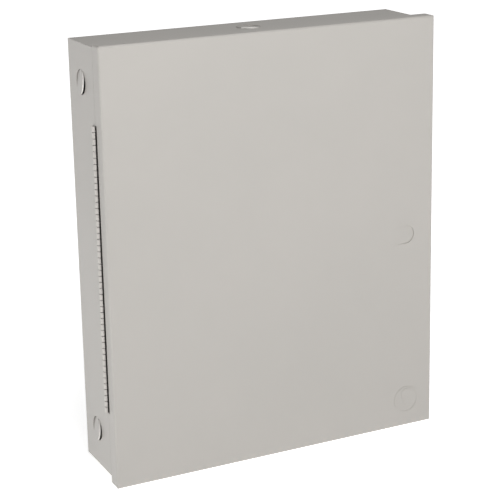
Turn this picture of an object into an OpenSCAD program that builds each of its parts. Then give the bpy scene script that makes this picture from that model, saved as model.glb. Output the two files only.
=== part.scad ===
// Fire alarm control panel: a folded sheet-steel cabinet with a piano-hinged door.
// Frame: origin at the centre of the four wall holes on the back face, +X to the
// right seen from the front, the front faces -Y, the wall is the plane y = 0, +Z up.
// Millimetres.

/* [Cabinet] */
// Width of the cabinet body
body_w = 367; // [362:1:390]
// Height of the cabinet body
body_h = 445; // [440:1:470]
// Depth of the cabinet body, wall to front lips
body_d = 83; // [82:1:95]
// Thickness of the folded steel sheet
sheet_t = 1.2; // [1:0.1:1.5]
// Outside radius of the folded edges
bend_r = 2.4; // [2:0.1:3]
// Width of the lips folded inward round the opening
lip_w = 12; // [8:1:14]

/* [Door] */
// Height of the door above the body's top
door_top = 3; // [2.5:0.5:5]
// Length of the door below the body's bottom
door_bottom = 9; // [3:0.5:11]
// Width of the door past the body's right side
door_right = 9; // [3:0.5:11]
// Gap between the front lips and the door sheet
door_gap = 2.8; // [2:0.2:4]
// Depth of the door's folded rim
rim_d = 16; // [15:0.5:18]

/* [Hinge] */
// Length of the piano hinge, an odd number of knuckles
hinge_len = 298.45; // [247.65:12.7:323.85]
// Outside radius of the knuckles
knuckle_r = 2.6; // [2.4:0.1:2.8]
// Radius of the hinge pin
pin_r = 1.2; // [1:0.1:1.4]
// Width of each hinge leaf
leaf_w = 13; // [10:1:16]

/* [Knockouts] */
// Diameter of the conduit knockouts
ko_d = 25.4; // [22:0.2:28.6]
// Distance of the knockout centres from the wall
ko_depth = 35; // [28:1:42]
// Height of the side knockouts from mid height
ko_z = 183.3; // [175:1:190]
// How far the front edge of a side slug stands out
slug_out = 3; // [1.8:0.1:3]
// How far the front edge of the top slug stands out
top_slug_out = 1.4; // [1.2:0.1:2.6]
// How far the back edge of a slug is driven in
slug_in = 1.2; // [0.8:0.1:1.8]
// How far round a slug's lean is turned down from the front, in degrees
slug_turn = 35; // [0:5:40]
// Height of the D-shaped lock knockout
lock_h = 20; // [16:1:22]
// Width of the D-shaped lock knockout
lock_w = 24.6; // [20:0.2:26]

/* [Wall fixing] */
// Spacing of the wall holes across
wall_dx = 330.2; // [320:0.1:336]
// Spacing of the wall holes up
wall_dz = 381; // [370:1:390]
// Diameter of the wall holes
wall_hole_d = 6.4; // [5:0.1:8]

/* [Main board] */
// Width of the main board
board_w = 250; // [248:1:252]
// Height of the main board
board_h = 230; // [228:1:232]
// Height of the board's standoffs
standoff_h = 12.7; // [10:0.1:14]
// Number of poles on each field terminal block
block_poles = 8; // [4:1:8]
// Pitch of the field terminals
pole_pitch = 7.5; // [5:0.5:7.5]

/* [Display] */
// Travel of a push button
button_travel = 1.5; // [0.5:0.1:1.5]
// Radius of a push button
button_r = 6; // [5:0.1:6.5]

/* [Batteries] */
// Width of a battery
battery_w = 151; // [150:0.5:152]
// Depth of a battery
battery_d = 65; // [60:0.5:66]
// Height of a battery case
battery_h = 94; // [90:0.5:95]

/* [Hidden] */

$fn = 48;
fine = 72;                        // facets of the larger circles
eps = 0.5;                        // overrun of a cutting solid
hw = body_w / 2;
hh = body_h / 2;
back_y = -sheet_t;                // inner face of the back sheet
door_y = -(body_d + door_gap + sheet_t);
door_in_y = door_y + sheet_t;     // inner face of the door sheet
rim_y = door_y + rim_d;           // back edge of the door's rim
seam = 0.3;                       // gap between the rim and the body's left side

hinge_z = -3.7;                   // middle of the hinge's length
hinge_lo = hinge_z - hinge_len / 2;
hinge_hi = hinge_z + hinge_len / 2;
leaf_t = 1;
pin_clear = 0.05;
knuckle_pitch = 6.35;             // length taken by one knuckle
knuckle_gap = 0.7;                // gap between two knuckles
hinge_notch = knuckle_gap / 2 - 0.1;
leaf_clear = 3.4;                 // a leaf's plain strip starts this far from the pin
hinge_x = -hw + sheet_t + leaf_t - knuckle_r;
hinge_y = rim_y + 2.8;
rim_notch = 5.6;                  // the rim stops this far in front of the pin
knuckles = round(hinge_len / knuckle_pitch);

slug_gap = 0.4;                   // sheared gap round a slug
slug_tab = [1.9, 2.4];            // length and width of the metal left holding a slug
lock_pos = [157, -9.6];
lock_lean = 2.2;                  // the lock slug is sheared deeper at its round end
lock_sink = 0.1;
emblem_pos = [160.5, -200.6];
emblem_r = 15;
emblem_band = 1.2;
emblem_rise = 0.3;
flame_r = 8;
label_lo = [-70, -30];            // label inside the door
label_hi = [110, 110];
label_t = 0.2;

board_x = 40;                     // centre of the main board
board_z = 55;
board_t = 1.6;
board_y = back_y - standoff_h;    // back face of the main board
front_y = board_y - board_t;      // component face of the main board
m3_r = 1.5;
m3_hole_r = 1.7;
hex_r = 3.175;
hole_inset = 5;
board_holes = [for (dx = [-1, 1], dz = [-1, 0, 1]) [board_x + dx * (board_w / 2 - hole_inset),
    board_z + dz * (board_h / 2 - hole_inset)]];
head = [1.9, 2, 1.1, 0.4];        // screw head: radius ratio, height, slot ratio, half slot

block_len = block_poles * pole_pitch + 1;
block_h = 13;
block_d = 12;
block_profile = [[0, 0], [block_h, 0], [block_h, 5 - block_d], [block_h - 3, -block_d], [2, -block_d],
    [0, 3 - block_d]];
pole_x = [for (i = [0:block_poles - 1]) 0.5 + (i + 0.5) * pole_pitch];
entry = [4.4, 5, 4];              // wire entry: width, depth, length
entry_y = -3;
clamp_r = 2.3;                    // clamping screw of a pole
clamp_z = 6;
clamp_y = -6.5;
clamp_h = 3;
bottom_blocks = [-70, -6, 58];    // left ends of the bottom row
bottom_block_z = -58;
side_block = [151, -32];

relay = [20, 15, 16];
relay_at = [-50, -40];            // lower left corner of the first relay
relay_pitch = 28;
can_x = [-62, -40, -18];          // smoothing capacitors
can_z = 44;
can_r = 9;
can_h = 25;
sink_w = 60;                      // heat sink
sink_h = 27;
sink_z = [6, 9, 34];              // lower face, top of the base, top of the fins
sink_fins = 8;
fin_t = 1.5;
lead_size = [1, 0.8];             // width and thickness of a power part's lead
device_x = [12, 38];              // power transistors under the heat sink
device = [10, 3.5, 19];           // their width, thickness and front
device_tab = [1, 25];             // thickness and front of their metal tabs
device_leads = [1.6, 2.9, 4];     // first lead, pitch and height under the body
bridge = [-54, 8, 20, 5];         // rectifier: left, lower side, width, thickness
bridge_y = [21, 3];               // its front and back above the board
bridge_leads = [2.5, 4.6];        // first lead and pitch
fuse_rows = [-40, -28, -16];
clip_x = [78, 94];
clip = [5, 8, 3.6];               // fuse clip: length, height, half width
fuse_h = 6;
fuse_cap = [5, 2.6];              // fuse end cap: length, radius
fuse_tube = [10, 2.3];
processor = [118, 108, 20, 2.4];  // left, lower side, size, height
dip_x = 108;                      // two-row packages
dip_z = [74, 90];
dip = [36, 4.5, 7];
dip_pins = 14;
dip_leg = [1.2, 0.7, 0.8, 2.6];   // first leg, and a leg's width, thickness and height
dip_lift = 0.8;                   // the body stands this far off the board
pin_pitch = 2.54;
small_chips = [[-20, 58], [30, 58]];
small_chip = [10, 2, 6];
header_at = [120, 10];
header_w = 8.5;
header_h = 8.5;
header_wall = 1.1;
header_pins = 5;
header_end = 5;                   // length of the shroud past its pins
header_floor = 2;
header_pin = [2.7, 3.4, 0.6, 7];  // first pin across and along, and a pin's size and height
sounder_at = [130, 150];
sounder_r = 12;
sounder_h = 10;
sounder_port = [1.5, 6];          // radius of its sound hole and height of the hole's floor
socket_h = 11;                    // power and battery plugs
power_socket = [[-83, 0], [-73, 14]];
battery_socket = [[-83, -38], [-71, -26]];
ribbon_socket = [[84.5, 92], [93.5, 126]];
ribbon_w = 30;
ribbon_t = 1;
ribbon_turn = [84, -30];          // centre of the ribbon's turn, seen from above
ribbon_r = 5.5;
back_socket = [[56, 92], [70, 126]];
back_socket_y = [-38, -32];

disp_w = 156;
disp_h = 98;
disp_z = 115;                     // centre height of the display
disp_y = -52;                     // front of the display frame
plate_t = 2;
disp_inset = 4;                   // the display board is this much smaller all round
disp_rim = 8;                     // the frame's corner blocks reach this far behind the board's face
disp_board_y = -39.6;             // component face of the display board
disp_back_y = disp_board_y + board_t;
disp_holes = [for (dx = [-1, 1], dz = [-1, 1]) [dx * 68, disp_z + dz * 39]];
window = [98, 34];
window_z = 133;
lcd = [108, 42];                  // display module
lcd_view = [94, 30];
lcd_y = [0.4, 1, 2.4];            // front of its frame, cell and well behind the display frame's plate
boss_r = 3.5;
led_r = 2.5;
led_z = 104;
led_pitch = 16;
button_x = [-54, -18, 18, 54];
button_z = 84;
button_out = button_travel + 2;   // how far a cap stands out of the frame
switch_half = 6;
switch_y = disp_board_y - 6.8;
stem_r = 2.5;
switch_floor = 2.4;               // thickness of a switch under its bore
stem_end = 1.2;                   // how far a resting stem reaches into its switch
flange = [1.5, 1.5];              // a cap's flange: width and thickness
flange_gap = 0.3;

coil_x = -137;                    // centre of the transformer
coil_z = 8;
core = [66, 28, 55];
core_slot = [16.5, 11];           // centre and width of the core's two windows
coil = [44, 50, 33];
coil_y = back_y - 2 - coil[1] / 2;
stud_r = 2;
stud_h = 9;
foot_t = 1.5;                     // thickness of the feet under the nuts
nut = [4, 4.4, 0.6, 4];           // nut: hexagon radius, flange radius, flange thickness, height
bracket_dx = 24;
bracket_dz = 35;
bracket = [30, 33, 14];           // half width of its arm and of its foot, and the foot's length
bracket_studs = [for (dx = [-1, 1], dz = [-1, 1]) [coil_x + dx * bracket_dx, coil_z + dz * bracket_dz]];
mains_pos = [-137.5, 112];
mains = [44, 14, 9];              // mains block: width, height, half of its other width
mains_ear = [9, 5];               // length and half width of its fixing ears
mains_floor = 8;                  // height of the terminals' seats
mains_pitch = 14;
mains_slot = 5.5;
mains_clamp_z = [-4.6, 4.6];
mains_clamp = [3.4, 2.5];         // radius and height
mains_dx = 26.6;
mains_studs = [for (dx = [-1, 1]) [mains_pos[0] + dx * mains_dx, mains_pos[1]]];
cover_t = 1.5;
cover_h = 21;
cover_half = [33, 13];
cover_r = 2;
ground_stud = [-137, 76];
ground_ring = [4.8, 1];           // ring terminal: radius and thickness

battery_gap = 3;
battery_y = back_y - 1.3 - battery_d;
battery_z = -hh + sheet_t;
battery_top = battery_z + battery_h;
lid_h = 7;
lid_groove = [0.6, 1];            // groove under the lid: depth and width
battery_r = 2;
left_x = -battery_gap / 2 - battery_w;
right_x = battery_gap / 2;
tab_dx = 15.5;                    // tab centre from the battery's end
tab_x = [left_x + tab_dx, left_x + battery_w - tab_dx, right_x + tab_dx, right_x + battery_w - tab_dx];
tab_y = battery_y + 15;
tab_half = [2.375, 0.4];
tab_top = battery_top + 6.35;
boot = [7, 9, 13];
boot_z = battery_top + 1.5;
lead_z = boot_z + boot[2];
wire_d = 2.6;
wire_gap = 0.1;                   // a wire's end stops this far from what it joins
wire_steps = 4;                   // pieces between two points of a wire's route
wire_side = [0.35, 0.9, -0.25];   // a direction that no wire runs along

steel = "#c4c0bb";
zinc = "#a9abad";
brassy = "#b79a55";
black = "#26272a";
board_green = "#1f5f3a";
terminal_green = "#2f8a52";
relay_blue = "#1f4f9e";
sleeve_blue = "#2b2f5c";
bare_aluminium = "#8f9296";
glass = "#d8e2e6";
nylon = "#e9e6da";
ribbon_grey = "#9aa0a6";
frame_grey = "#3a3d42";
lcd_green = "#9fb36a";
cap_grey = "#d9d7d2";
lens_red = "#c22a22";
lens_amber = "#e0a020";
lens_green = "#2f9e44";
core_grey = "#4a4d50";
coil_tape = "#c9a24a";
clear_plastic = "#b9c4c9";
wire_yellow = "#d8b52a";
wire_green = "#2c8a3d";
wire_red = "#c8372d";

// --- shared shapes ---

// Box between two corners
module block(lo, hi) translate(lo) cube(hi - lo);

// Rectangle between two corners, with rounded corners
module rounded(lo, hi, r) {
    translate([lo[0] + r, lo[1]]) square([hi[0] - lo[0] - 2 * r, hi[1] - lo[1]]);
    translate([lo[0], lo[1] + r]) square([hi[0] - lo[0], hi[1] - lo[1] - 2 * r]);
    for (x = [lo[0] + r, hi[0] - r], y = [lo[1] + r, hi[1] - r]) translate([x, y]) circle(r);
}

// Box whose edges are rounded along X and along Z
module folded(lo, hi, r) intersection() {
    translate([0, 0, lo[2]]) linear_extrude(hi[2] - lo[2]) rounded([lo[0], lo[1]], [hi[0], hi[1]], r);
    translate([lo[0], 0, 0]) rotate([90, 0, 90]) linear_extrude(hi[0] - lo[0])
        rounded([lo[1], lo[2]], [hi[1], hi[2]], r);
}

// Cylinder along Y, from y0 forward to y1
module rod(x, z, y0, y1, r) translate([x, y0, z]) rotate([90, 0, 0]) cylinder(h = y0 - y1, r = r);

// Hexagonal prism along Y
module hexagon(x, z, y0, y1, r) translate([x, y0, z]) rotate([90, 0, 0])
    cylinder(h = y0 - y1, r = r, $fn = 6);

// Smooth curve through a list of points
function between(a, b, c, d, t) = 0.5 * (2 * b + (c - a) * t + (2 * a - 5 * b + 4 * c - d) * t * t
    + (3 * b - a - 3 * c + d) * t * t * t);
function smooth(p) = concat([for (i = [0:len(p) - 2], s = [0:wire_steps - 1]) between(p[max(i - 1, 0)],
    p[i], p[i + 1], p[min(i + 2, len(p) - 1)], s / wire_steps)], [p[len(p) - 1]]);
function unit(v) = v / norm(v);

// Ring of points round a path at its point i
function ring(path, i, r) = let (t = unit(path[min(i + 1, len(path) - 1)] - path[max(i - 1, 0)]),
    u = unit(cross(t, wire_side)), v = cross(t, u))
    [for (k = [0:7]) path[i] + r * (cos(45 * k) * u + sin(45 * k) * v)];

// Round wire through a list of points, as one swept tube
module wire(points, d) {
    path = smooth(points);
    last = len(path) - 1;
    sides = [for (i = [0:last - 1], k = [0:7]) let (a = i * 8 + k, b = i * 8 + (k + 1) % 8)
        each [[a, b, b + 8], [a, b + 8, a + 8]]];
    ends = [[for (k = [7:-1:0]) k], [for (k = [0:7]) last * 8 + k]];
    polyhedron([for (i = [0:last]) each ring(path, i, d / 2)], [for (f = concat(sides, ends)) [f[0], each
        [for (k = [len(f) - 1:-1:1]) f[k]]]], convexity = 6);
}

// Pan-head screw along Y with its head seated at y
module screw(x, z, y, len, r) {
    rod(x, z, y + len, y - 0.01, r);
    difference() {
        rod(x, z, y, y - head[1], r * head[0]);
        cross_slot(x, z, y - head[1] / 2 - 0.1, r * head[2], head[3]);
    }
}

// Two crossed slots, cut from y forward
module cross_slot(x, z, y, long, half) {
    block([x - long, y - head[1], z - half], [x + long, y, z + half]);
    block([x - half, y - head[1], z - long], [x + half, y, z + long]);
}

// --- cabinet and door ---

// Part-sheared slug of a conduit knockout, in the plane z = 0 with the outside up and
// the cabinet's front towards -Y; its front edge stands out and two tabs still hold it
module slug(out) rotate([0, 0, -slug_turn]) {
    r = ko_d / 2 - slug_gap;
    rise = (out - slug_in) / 2;
    translate([0, 0, rise]) rotate([-asin((out + slug_in) / (2 * r)), 0, 0]) translate([0, 0, -sheet_t])
        cylinder(h = sheet_t, r = r, $fn = fine);
    for (side = [0, 1]) mirror([side, 0, 0]) translate([r - slug_tab[0] / 2, -slug_tab[1] / 2, -sheet_t])
        cube([slug_tab[0], slug_tab[1], sheet_t + max(rise - 0.3, 0)]);
}

// Places its child on each knockout in the cabinet's two sides
module at_side_knockouts() for (z = [-ko_z, ko_z], side = [0, 1]) mirror([side, 0, 0])
    translate([-hw, -ko_depth, z]) rotate([0, -90, 0]) children();

// Places its child on the knockout in the cabinet's top
module at_top_knockout() translate([0, -ko_depth, hh]) children();

module knockout_hole() translate([0, 0, -sheet_t - eps])
    cylinder(h = sheet_t + 2 * eps, d = ko_d, $fn = fine);

module backbox() color(steel) {
    difference() {
        folded([-hw, -body_d, -hh], [hw, 0, hh], bend_r);
        folded([-hw + sheet_t, -body_d + sheet_t, -hh + sheet_t], [hw - sheet_t, back_y, hh - sheet_t],
            bend_r - sheet_t);
        block([-hw - eps, -body_d - eps, -hh + lip_w], [hw - lip_w, -body_d + sheet_t + eps, hh - lip_w]);
        block([-hw - eps, -body_d - eps, -hh - eps],
            [-hw + sheet_t + leaf_t, rim_y + seam, hh + eps]);
        block([-hw - eps, rim_y, hinge_lo + hinge_notch],
            [-hw + sheet_t + eps, hinge_y + knuckle_r + seam, hinge_hi - hinge_notch]);
        for (x = [-wall_dx / 2, wall_dx / 2], z = [-wall_dz / 2, wall_dz / 2])
            rod(x, z, eps, back_y - eps, wall_hole_d / 2);
        at_side_knockouts() knockout_hole();
        at_top_knockout() knockout_hole();
    }
    at_side_knockouts() slug(slug_out);
    at_top_knockout() slug(top_slug_out);
}

module weld_studs() color(zinc) for (p = concat(bracket_studs, mains_studs, [ground_stud]))
    rod(p[0], p[1], back_y, back_y - stud_h, stud_r);

module stud_nuts() color(zinc) for (p = concat(bracket_studs, mains_studs, [ground_stud])) {
    seat = back_y - (p == ground_stud ? ground_ring[1] : foot_t);
    difference() {
        union() {
            hexagon(p[0], p[1], seat - nut[2], seat - nut[3], nut[0]);
            rod(p[0], p[1], seat, seat - nut[2], nut[1]);
        }
        rod(p[0], p[1], seat + eps, seat - nut[3] - eps, stud_r + pin_clear);
    }
}

// One knuckle barrel of the piano hinge, with the strip that joins it to its leaf
module knuckle(i, side) {
    long = knuckle_pitch - knuckle_gap;
    translate([hinge_x, hinge_y, hinge_lo + i * knuckle_pitch + knuckle_gap / 2]) difference() {
        union() {
            cylinder(h = long, r = knuckle_r);
            translate([knuckle_r - leaf_t, min(0, side * (leaf_clear + eps)), 0])
                cube([leaf_t, leaf_clear + eps, long]);
        }
        translate([0, 0, -eps]) cylinder(h = long + 2 * eps, r = pin_r + pin_clear);
    }
}

// Leaf of the piano hinge: side is 1 for the body's, -1 for the door's
module hinge_leaf(side, first) {
    for (i = [first:2:knuckles - 1]) knuckle(i, side);
    y0 = hinge_y + side * leaf_clear;
    y1 = hinge_y + side * (leaf_clear + leaf_w);
    block([-hw + sheet_t, min(y0, y1), hinge_lo], [-hw + sheet_t + leaf_t, max(y0, y1), hinge_hi]);
}

module hinge_body_leaf() color(steel) hinge_leaf(1, 0);

module hinge_door_leaf() color(steel) hinge_leaf(-1, 1);

module hinge_pin() color(zinc) translate([hinge_x, hinge_y, hinge_lo + knuckle_gap / 2])
    cylinder(h = hinge_len - knuckle_gap, r = pin_r);

// Outline of the lock knockout, from its straight end on the left to its round end
module lock_outline(shrink) {
    r = lock_h / 2 - shrink;
    translate([lock_w - lock_h / 2, 0]) circle(r, $fn = fine);
    translate([shrink, -r]) square([lock_w - lock_h / 2 - shrink, 2 * r]);
}

// Plate of the lock knockout's outline, leaning in towards its round end, from y forward
module lock_plate(y, thick, shrink) translate([lock_pos[0] - lock_w / 2, y, lock_pos[1]])
    rotate([90, 0, lock_lean]) linear_extrude(thick) lock_outline(shrink);

// Outline of a flame drop: a circle drawn up to a point
function drop(t, r) = [r * sin(t) * pow(sin(t / 2), 1.3), -r * cos(t) * 1.35 + r * 0.2];
module flame(r) polygon([for (t = [0:10:350]) drop(t, r)]);

// Places a flat outline on the door's face, as a solid from depth y0 forward to y1
module on_door(pos, y0, y1) translate([pos[0], y0, pos[1]]) rotate([90, 0, 0]) linear_extrude(y0 - y1)
    children();

module door() color(steel) {
    lo = [-hw, door_y, -hh - door_bottom];
    hi = [hw + door_right, rim_y, hh + door_top];
    t = [sheet_t, sheet_t, sheet_t];
    difference() {
        intersection() {
            folded(lo, hi + [0, 2 * bend_r, 0], bend_r);
            on_door([0, 0], rim_y, door_y - eps) rounded([lo[0], lo[2]], [hi[0], hi[2]], bend_r);
        }
        folded(lo + t, hi - [sheet_t, -2 * bend_r, sheet_t], bend_r - sheet_t);
        block([-hw - eps, hinge_y - rim_notch, hinge_lo - seam],
            [-hw + sheet_t + eps, rim_y + eps, hinge_hi + seam]);
        lock_plate(door_y + lock_sink, 2 * sheet_t, 0);
    }
    lock_plate(door_in_y + lock_sink, sheet_t - lock_sink, slug_gap);
    on_door(emblem_pos, door_y + 0.1, door_y - emblem_rise) difference() {
        circle(emblem_r, $fn = fine);
        circle(emblem_r - emblem_band, $fn = fine);
    }
    on_door(emblem_pos, door_y + 0.1, door_y - emblem_rise) flame(flame_r);
}

module door_label() color("white")
    block([label_lo[0], door_in_y, label_lo[1]], [label_hi[0], door_in_y + label_t, label_hi[1]]);

// --- main board ---

// Part standing on the main board, between two corners seen from the front
module on_board(lo, hi, h) block([lo[0], front_y - h, lo[1]], [hi[0], front_y, hi[1]]);

module standoffs() color(brassy) for (p = board_holes) difference() {
    hexagon(p[0], p[1], back_y, board_y, hex_r);
    rod(p[0], p[1], back_y - 3, board_y - eps, m3_r + pin_clear);
}

module main_board() color(board_green) difference() {
    block([board_x - board_w / 2, front_y, board_z - board_h / 2],
        [board_x + board_w / 2, board_y, board_z + board_h / 2]);
    for (p = board_holes) rod(p[0], p[1], board_y + eps, front_y - eps, m3_hole_r);
}

module board_screws() color(zinc) for (p = board_holes) screw(p[0], p[1], front_y, 7, m3_r);

// Field terminal block lying along X, wire entries below, screws at the front
module terminal_block() difference() {
    rotate([0, -90, 0]) mirror([0, 0, 1]) linear_extrude(block_len) polygon(block_profile);
    for (x = pole_x) {
        block([x - entry[0] / 2, entry_y - entry[1], -eps], [x + entry[0] / 2, entry_y, entry[2]]);
        rod(x, clamp_z, clamp_y, -block_d - eps, clamp_r + 0.2);
    }
}

// Places its child on each field terminal block, its left end at the origin
module at_blocks() {
    for (x = bottom_blocks) translate([x, front_y, bottom_block_z]) children();
    translate([side_block[0] + block_h, front_y, side_block[1]]) rotate([0, -90, 0]) children();
}

module terminal_blocks() color(terminal_green) at_blocks() terminal_block();

module terminal_screws() color(zinc) at_blocks() for (x = pole_x) difference() {
    rod(x, clamp_z, clamp_y, clamp_y - clamp_h, clamp_r);
    block([x - clamp_r - eps, clamp_y - clamp_h - eps, clamp_z - head[3]],
        [x + clamp_r + eps, clamp_y - clamp_h + 0.8, clamp_z + head[3]]);
}

module relays() color(relay_blue) for (i = [0:3]) translate([relay_at[0] + i * relay_pitch, 0, relay_at[1]])
    folded([0, front_y - relay[1], 0], [relay[0], front_y, relay[2]], 0.8);

module capacitors() color(sleeve_blue) for (x = can_x) {
    rod(x, can_z, front_y, front_y - 1, can_r - 0.6);
    rod(x, can_z, front_y - 1, front_y - can_h + 1, can_r);
    rod(x, can_z, front_y - can_h + 1, front_y - can_h, can_r - 0.8);
}

module heat_sink() color(bare_aluminium) {
    on_board([0, sink_z[0]], [sink_w, sink_z[1]], sink_h);
    step = (sink_w - fin_t) / (sink_fins - 1);
    for (i = [0:sink_fins - 1]) on_board([i * step, sink_z[1]], [i * step + fin_t, sink_z[2]], sink_h);
}

// Leads of a power part, from its body down to the board
module leads(x, z, count, pitch, h) for (i = [0:count - 1])
    on_board([x + i * pitch, z], [x + i * pitch + lead_size[0], z + lead_size[1]], h);

module power_devices() color(black) {
    tab_z = sink_z[0] - device_tab[0];
    foot = front_y - device_leads[2];
    for (x = device_x) {
        block([x, front_y - device[2], tab_z - device[1]], [x + device[0], foot, tab_z]);
        block([x, front_y - device_tab[1], tab_z], [x + device[0], foot, sink_z[0]]);
        leads(x + device_leads[0], tab_z - device[1] + 1, 3, device_leads[1], device_leads[2]);
    }
    block([bridge[0], front_y - bridge_y[0], bridge[1]],
        [bridge[0] + bridge[2], front_y - bridge_y[1], bridge[1] + bridge[3]]);
    leads(bridge[0] + bridge_leads[0], bridge[1] + 2, 4, bridge_leads[1], bridge_y[1]);
}

module fuse_holders() color(zinc) for (z = fuse_rows, x = clip_x) difference() {
    on_board([x, z - clip[2]], [x + clip[0], z + clip[2]], clip[1]);
    translate([x - eps, front_y - fuse_h, z]) rotate([0, 90, 0])
        cylinder(h = clip[0] + 2 * eps, r = fuse_cap[1] + 0.01);
    block([x - eps, front_y - clip[1] - eps, z - 2], [x + clip[0] + eps, front_y - fuse_h, z + 2]);
}

module fuses() color(glass) for (z = fuse_rows) translate([clip_x[0] + 0.5, front_y - fuse_h, z])
    rotate([0, 90, 0]) {
        cylinder(h = fuse_cap[0], r = fuse_cap[1]);
        translate([0, 0, fuse_cap[0]]) cylinder(h = fuse_tube[0], r = fuse_tube[1]);
        translate([0, 0, fuse_cap[0] + fuse_tube[0]]) cylinder(h = fuse_cap[0], r = fuse_cap[1]);
    }

module chips() color(black) {
    on_board([processor[0], processor[1]], [processor[0] + processor[2], processor[1] + processor[2]],
        processor[3]);
    for (z = dip_z) {
        block([dip_x, front_y - dip[1], z], [dip_x + dip[0], front_y - dip_lift, z + dip[2]]);
        for (i = [0:dip_pins - 1], side = [-dip_leg[2], dip[2]]) {
            x = dip_x + dip_leg[0] + i * pin_pitch;
            on_board([x, z + side], [x + dip_leg[1], z + side + dip_leg[2]], dip_leg[3]);
        }
    }
    for (p = small_chips) on_board(p, [p[0] + small_chip[0], p[1] + small_chip[2]], small_chip[1]);
}

// Shrouded two-row pin header
module pin_headers() color(black) {
    long = header_pins * pin_pitch + header_end;
    lo = header_at;
    w = header_wall;
    size = header_pin[2];
    difference() {
        on_board(lo, [lo[0] + header_w, lo[1] + long], header_h);
        block([lo[0] + w, front_y - header_h - eps, lo[1] + w],
            [lo[0] + header_w - w, front_y - header_floor, lo[1] + long - w]);
    }
    for (i = [0:header_pins - 1], j = [0, 1]) {
        x = lo[0] + header_pin[0] + j * pin_pitch;
        z = lo[1] + header_pin[1] + i * pin_pitch;
        block([x, front_y - header_pin[3], z], [x + size, front_y - header_floor / 2, z + size]);
    }
}

module sounder() color(black) difference() {
    union() {
        rod(sounder_at[0], sounder_at[1], front_y, front_y - sounder_h + 1, sounder_r);
        rod(sounder_at[0], sounder_at[1], front_y - sounder_h + 1, front_y - sounder_h, sounder_r - 0.8);
    }
    rod(sounder_at[0], sounder_at[1], front_y - sounder_port[1], front_y - sounder_h - eps, sounder_port[0]);
}

// Power plug, battery plug and the two ribbon sockets
module plug_sockets() color(nylon) {
    on_board(power_socket[0], power_socket[1], socket_h);
    on_board(battery_socket[0], battery_socket[1], socket_h);
    on_board(ribbon_socket[0], ribbon_socket[1], header_h);
    block([back_socket[0][0], back_socket_y[0], back_socket[0][1]],
        [back_socket[1][0], back_socket_y[1], back_socket[1][1]]);
}

// Flat ribbon from the main board's socket round to the back of the display board
module ribbon_cable() color(ribbon_grey) translate([0, 0, ribbon_socket[0][1] + 2]) linear_extrude(ribbon_w) {
    c = ribbon_turn;
    translate([c[0] + ribbon_r - ribbon_t, c[1]]) square([ribbon_t, front_y - header_h - c[1]]);
    translate([back_socket[1][0], c[1] - ribbon_r]) square([c[0] - back_socket[1][0], ribbon_t]);
    intersection() {
        translate(c) difference() {
            circle(ribbon_r);
            circle(ribbon_r - ribbon_t);
        }
        translate([c[0], c[1] - ribbon_r - 1]) square(ribbon_r + 1);
    }
}

// --- display ---

module display_standoffs() color(brassy) for (p = disp_holes) difference() {
    hexagon(p[0], p[1], front_y, disp_back_y, hex_r);
    rod(p[0], p[1], front_y - 12, disp_board_y - eps, m3_r + pin_clear);
}

module display_board() color(board_green) difference() {
    block([-disp_w / 2 + disp_inset, disp_board_y, disp_z - disp_h / 2 + disp_inset],
        [disp_w / 2 - disp_inset, disp_back_y, disp_z + disp_h / 2 - disp_inset]);
    for (p = disp_holes) rod(p[0], p[1], disp_back_y + eps, disp_board_y - eps, m3_hole_r);
}

function led_x(i) = (i - 3.5) * led_pitch;

module display_frame() color(frame_grey) difference() {
    union() {
        difference() {
            folded([-disp_w / 2, disp_y, disp_z - disp_h / 2],
                [disp_w / 2, disp_board_y + disp_rim, disp_z + disp_h / 2], 2.5);
            block([-disp_w / 2 + plate_t, disp_y + plate_t, disp_z - disp_h / 2 + plate_t],
                [disp_w / 2 - plate_t, disp_board_y + disp_rim + 1, disp_z + disp_h / 2 - plate_t]);
            block([-disp_w, disp_back_y, 0], [disp_w, disp_board_y + disp_rim + 1, 2 * disp_z]);
        }
        for (p = disp_holes) rod(p[0], p[1], disp_board_y, disp_y + plate_t - 0.1, boss_r);
    }
    for (p = disp_holes) rod(p[0], p[1], disp_board_y + eps, disp_y - eps, m3_hole_r);
    block([-window[0] / 2, disp_y - eps, window_z - window[1] / 2],
        [window[0] / 2, disp_y + plate_t + eps, window_z + window[1] / 2]);
    for (i = [0:7]) rod(led_x(i), led_z, disp_y + plate_t + eps, disp_y - eps, led_r + 0.2);
    for (x = button_x) rod(x, button_z, disp_y + plate_t + eps, disp_y - eps, button_r + 0.4);
}

module display_screws() color(zinc) for (p = disp_holes) screw(p[0], p[1], disp_y, 19, m3_r);

module lcd_module() color(black) difference() {
    block([-lcd[0] / 2, disp_y + plate_t + lcd_y[0], window_z - lcd[1] / 2],
        [lcd[0] / 2, disp_board_y, window_z + lcd[1] / 2]);
    block([-lcd_view[0] / 2, disp_y, window_z - lcd_view[1] / 2],
        [lcd_view[0] / 2, disp_y + plate_t + lcd_y[2], window_z + lcd_view[1] / 2]);
}

module lcd_glass() color(lcd_green) {
    x = lcd_view[0] / 2 - 0.2;
    z = lcd_view[1] / 2 - 0.2;
    block([-x, disp_y + plate_t + lcd_y[1], window_z - z], [x, disp_y + plate_t + lcd_y[2], window_z + z]);
}

// Round lamp with a domed tip, on the display board
module led(i) {
    rod(led_x(i), led_z, disp_board_y, disp_board_y - 1, led_r + 0.4);
    rod(led_x(i), led_z, disp_board_y, disp_y, led_r);
    translate([led_x(i), disp_y, led_z]) sphere(led_r);
}

module alarm_leds() color(lens_red) for (i = [0:2]) led(i);

module trouble_leds() color(lens_amber) for (i = [3:6]) led(i);

module power_led() color(lens_green) led(7);

module switch_bodies() color(black) for (x = button_x) difference() {
    block([x - switch_half, switch_y, button_z - switch_half],
        [x + switch_half, disp_board_y, button_z + switch_half]);
    rod(x, button_z, disp_board_y - switch_floor, switch_y - eps, stem_r + 0.3);
}

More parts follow.
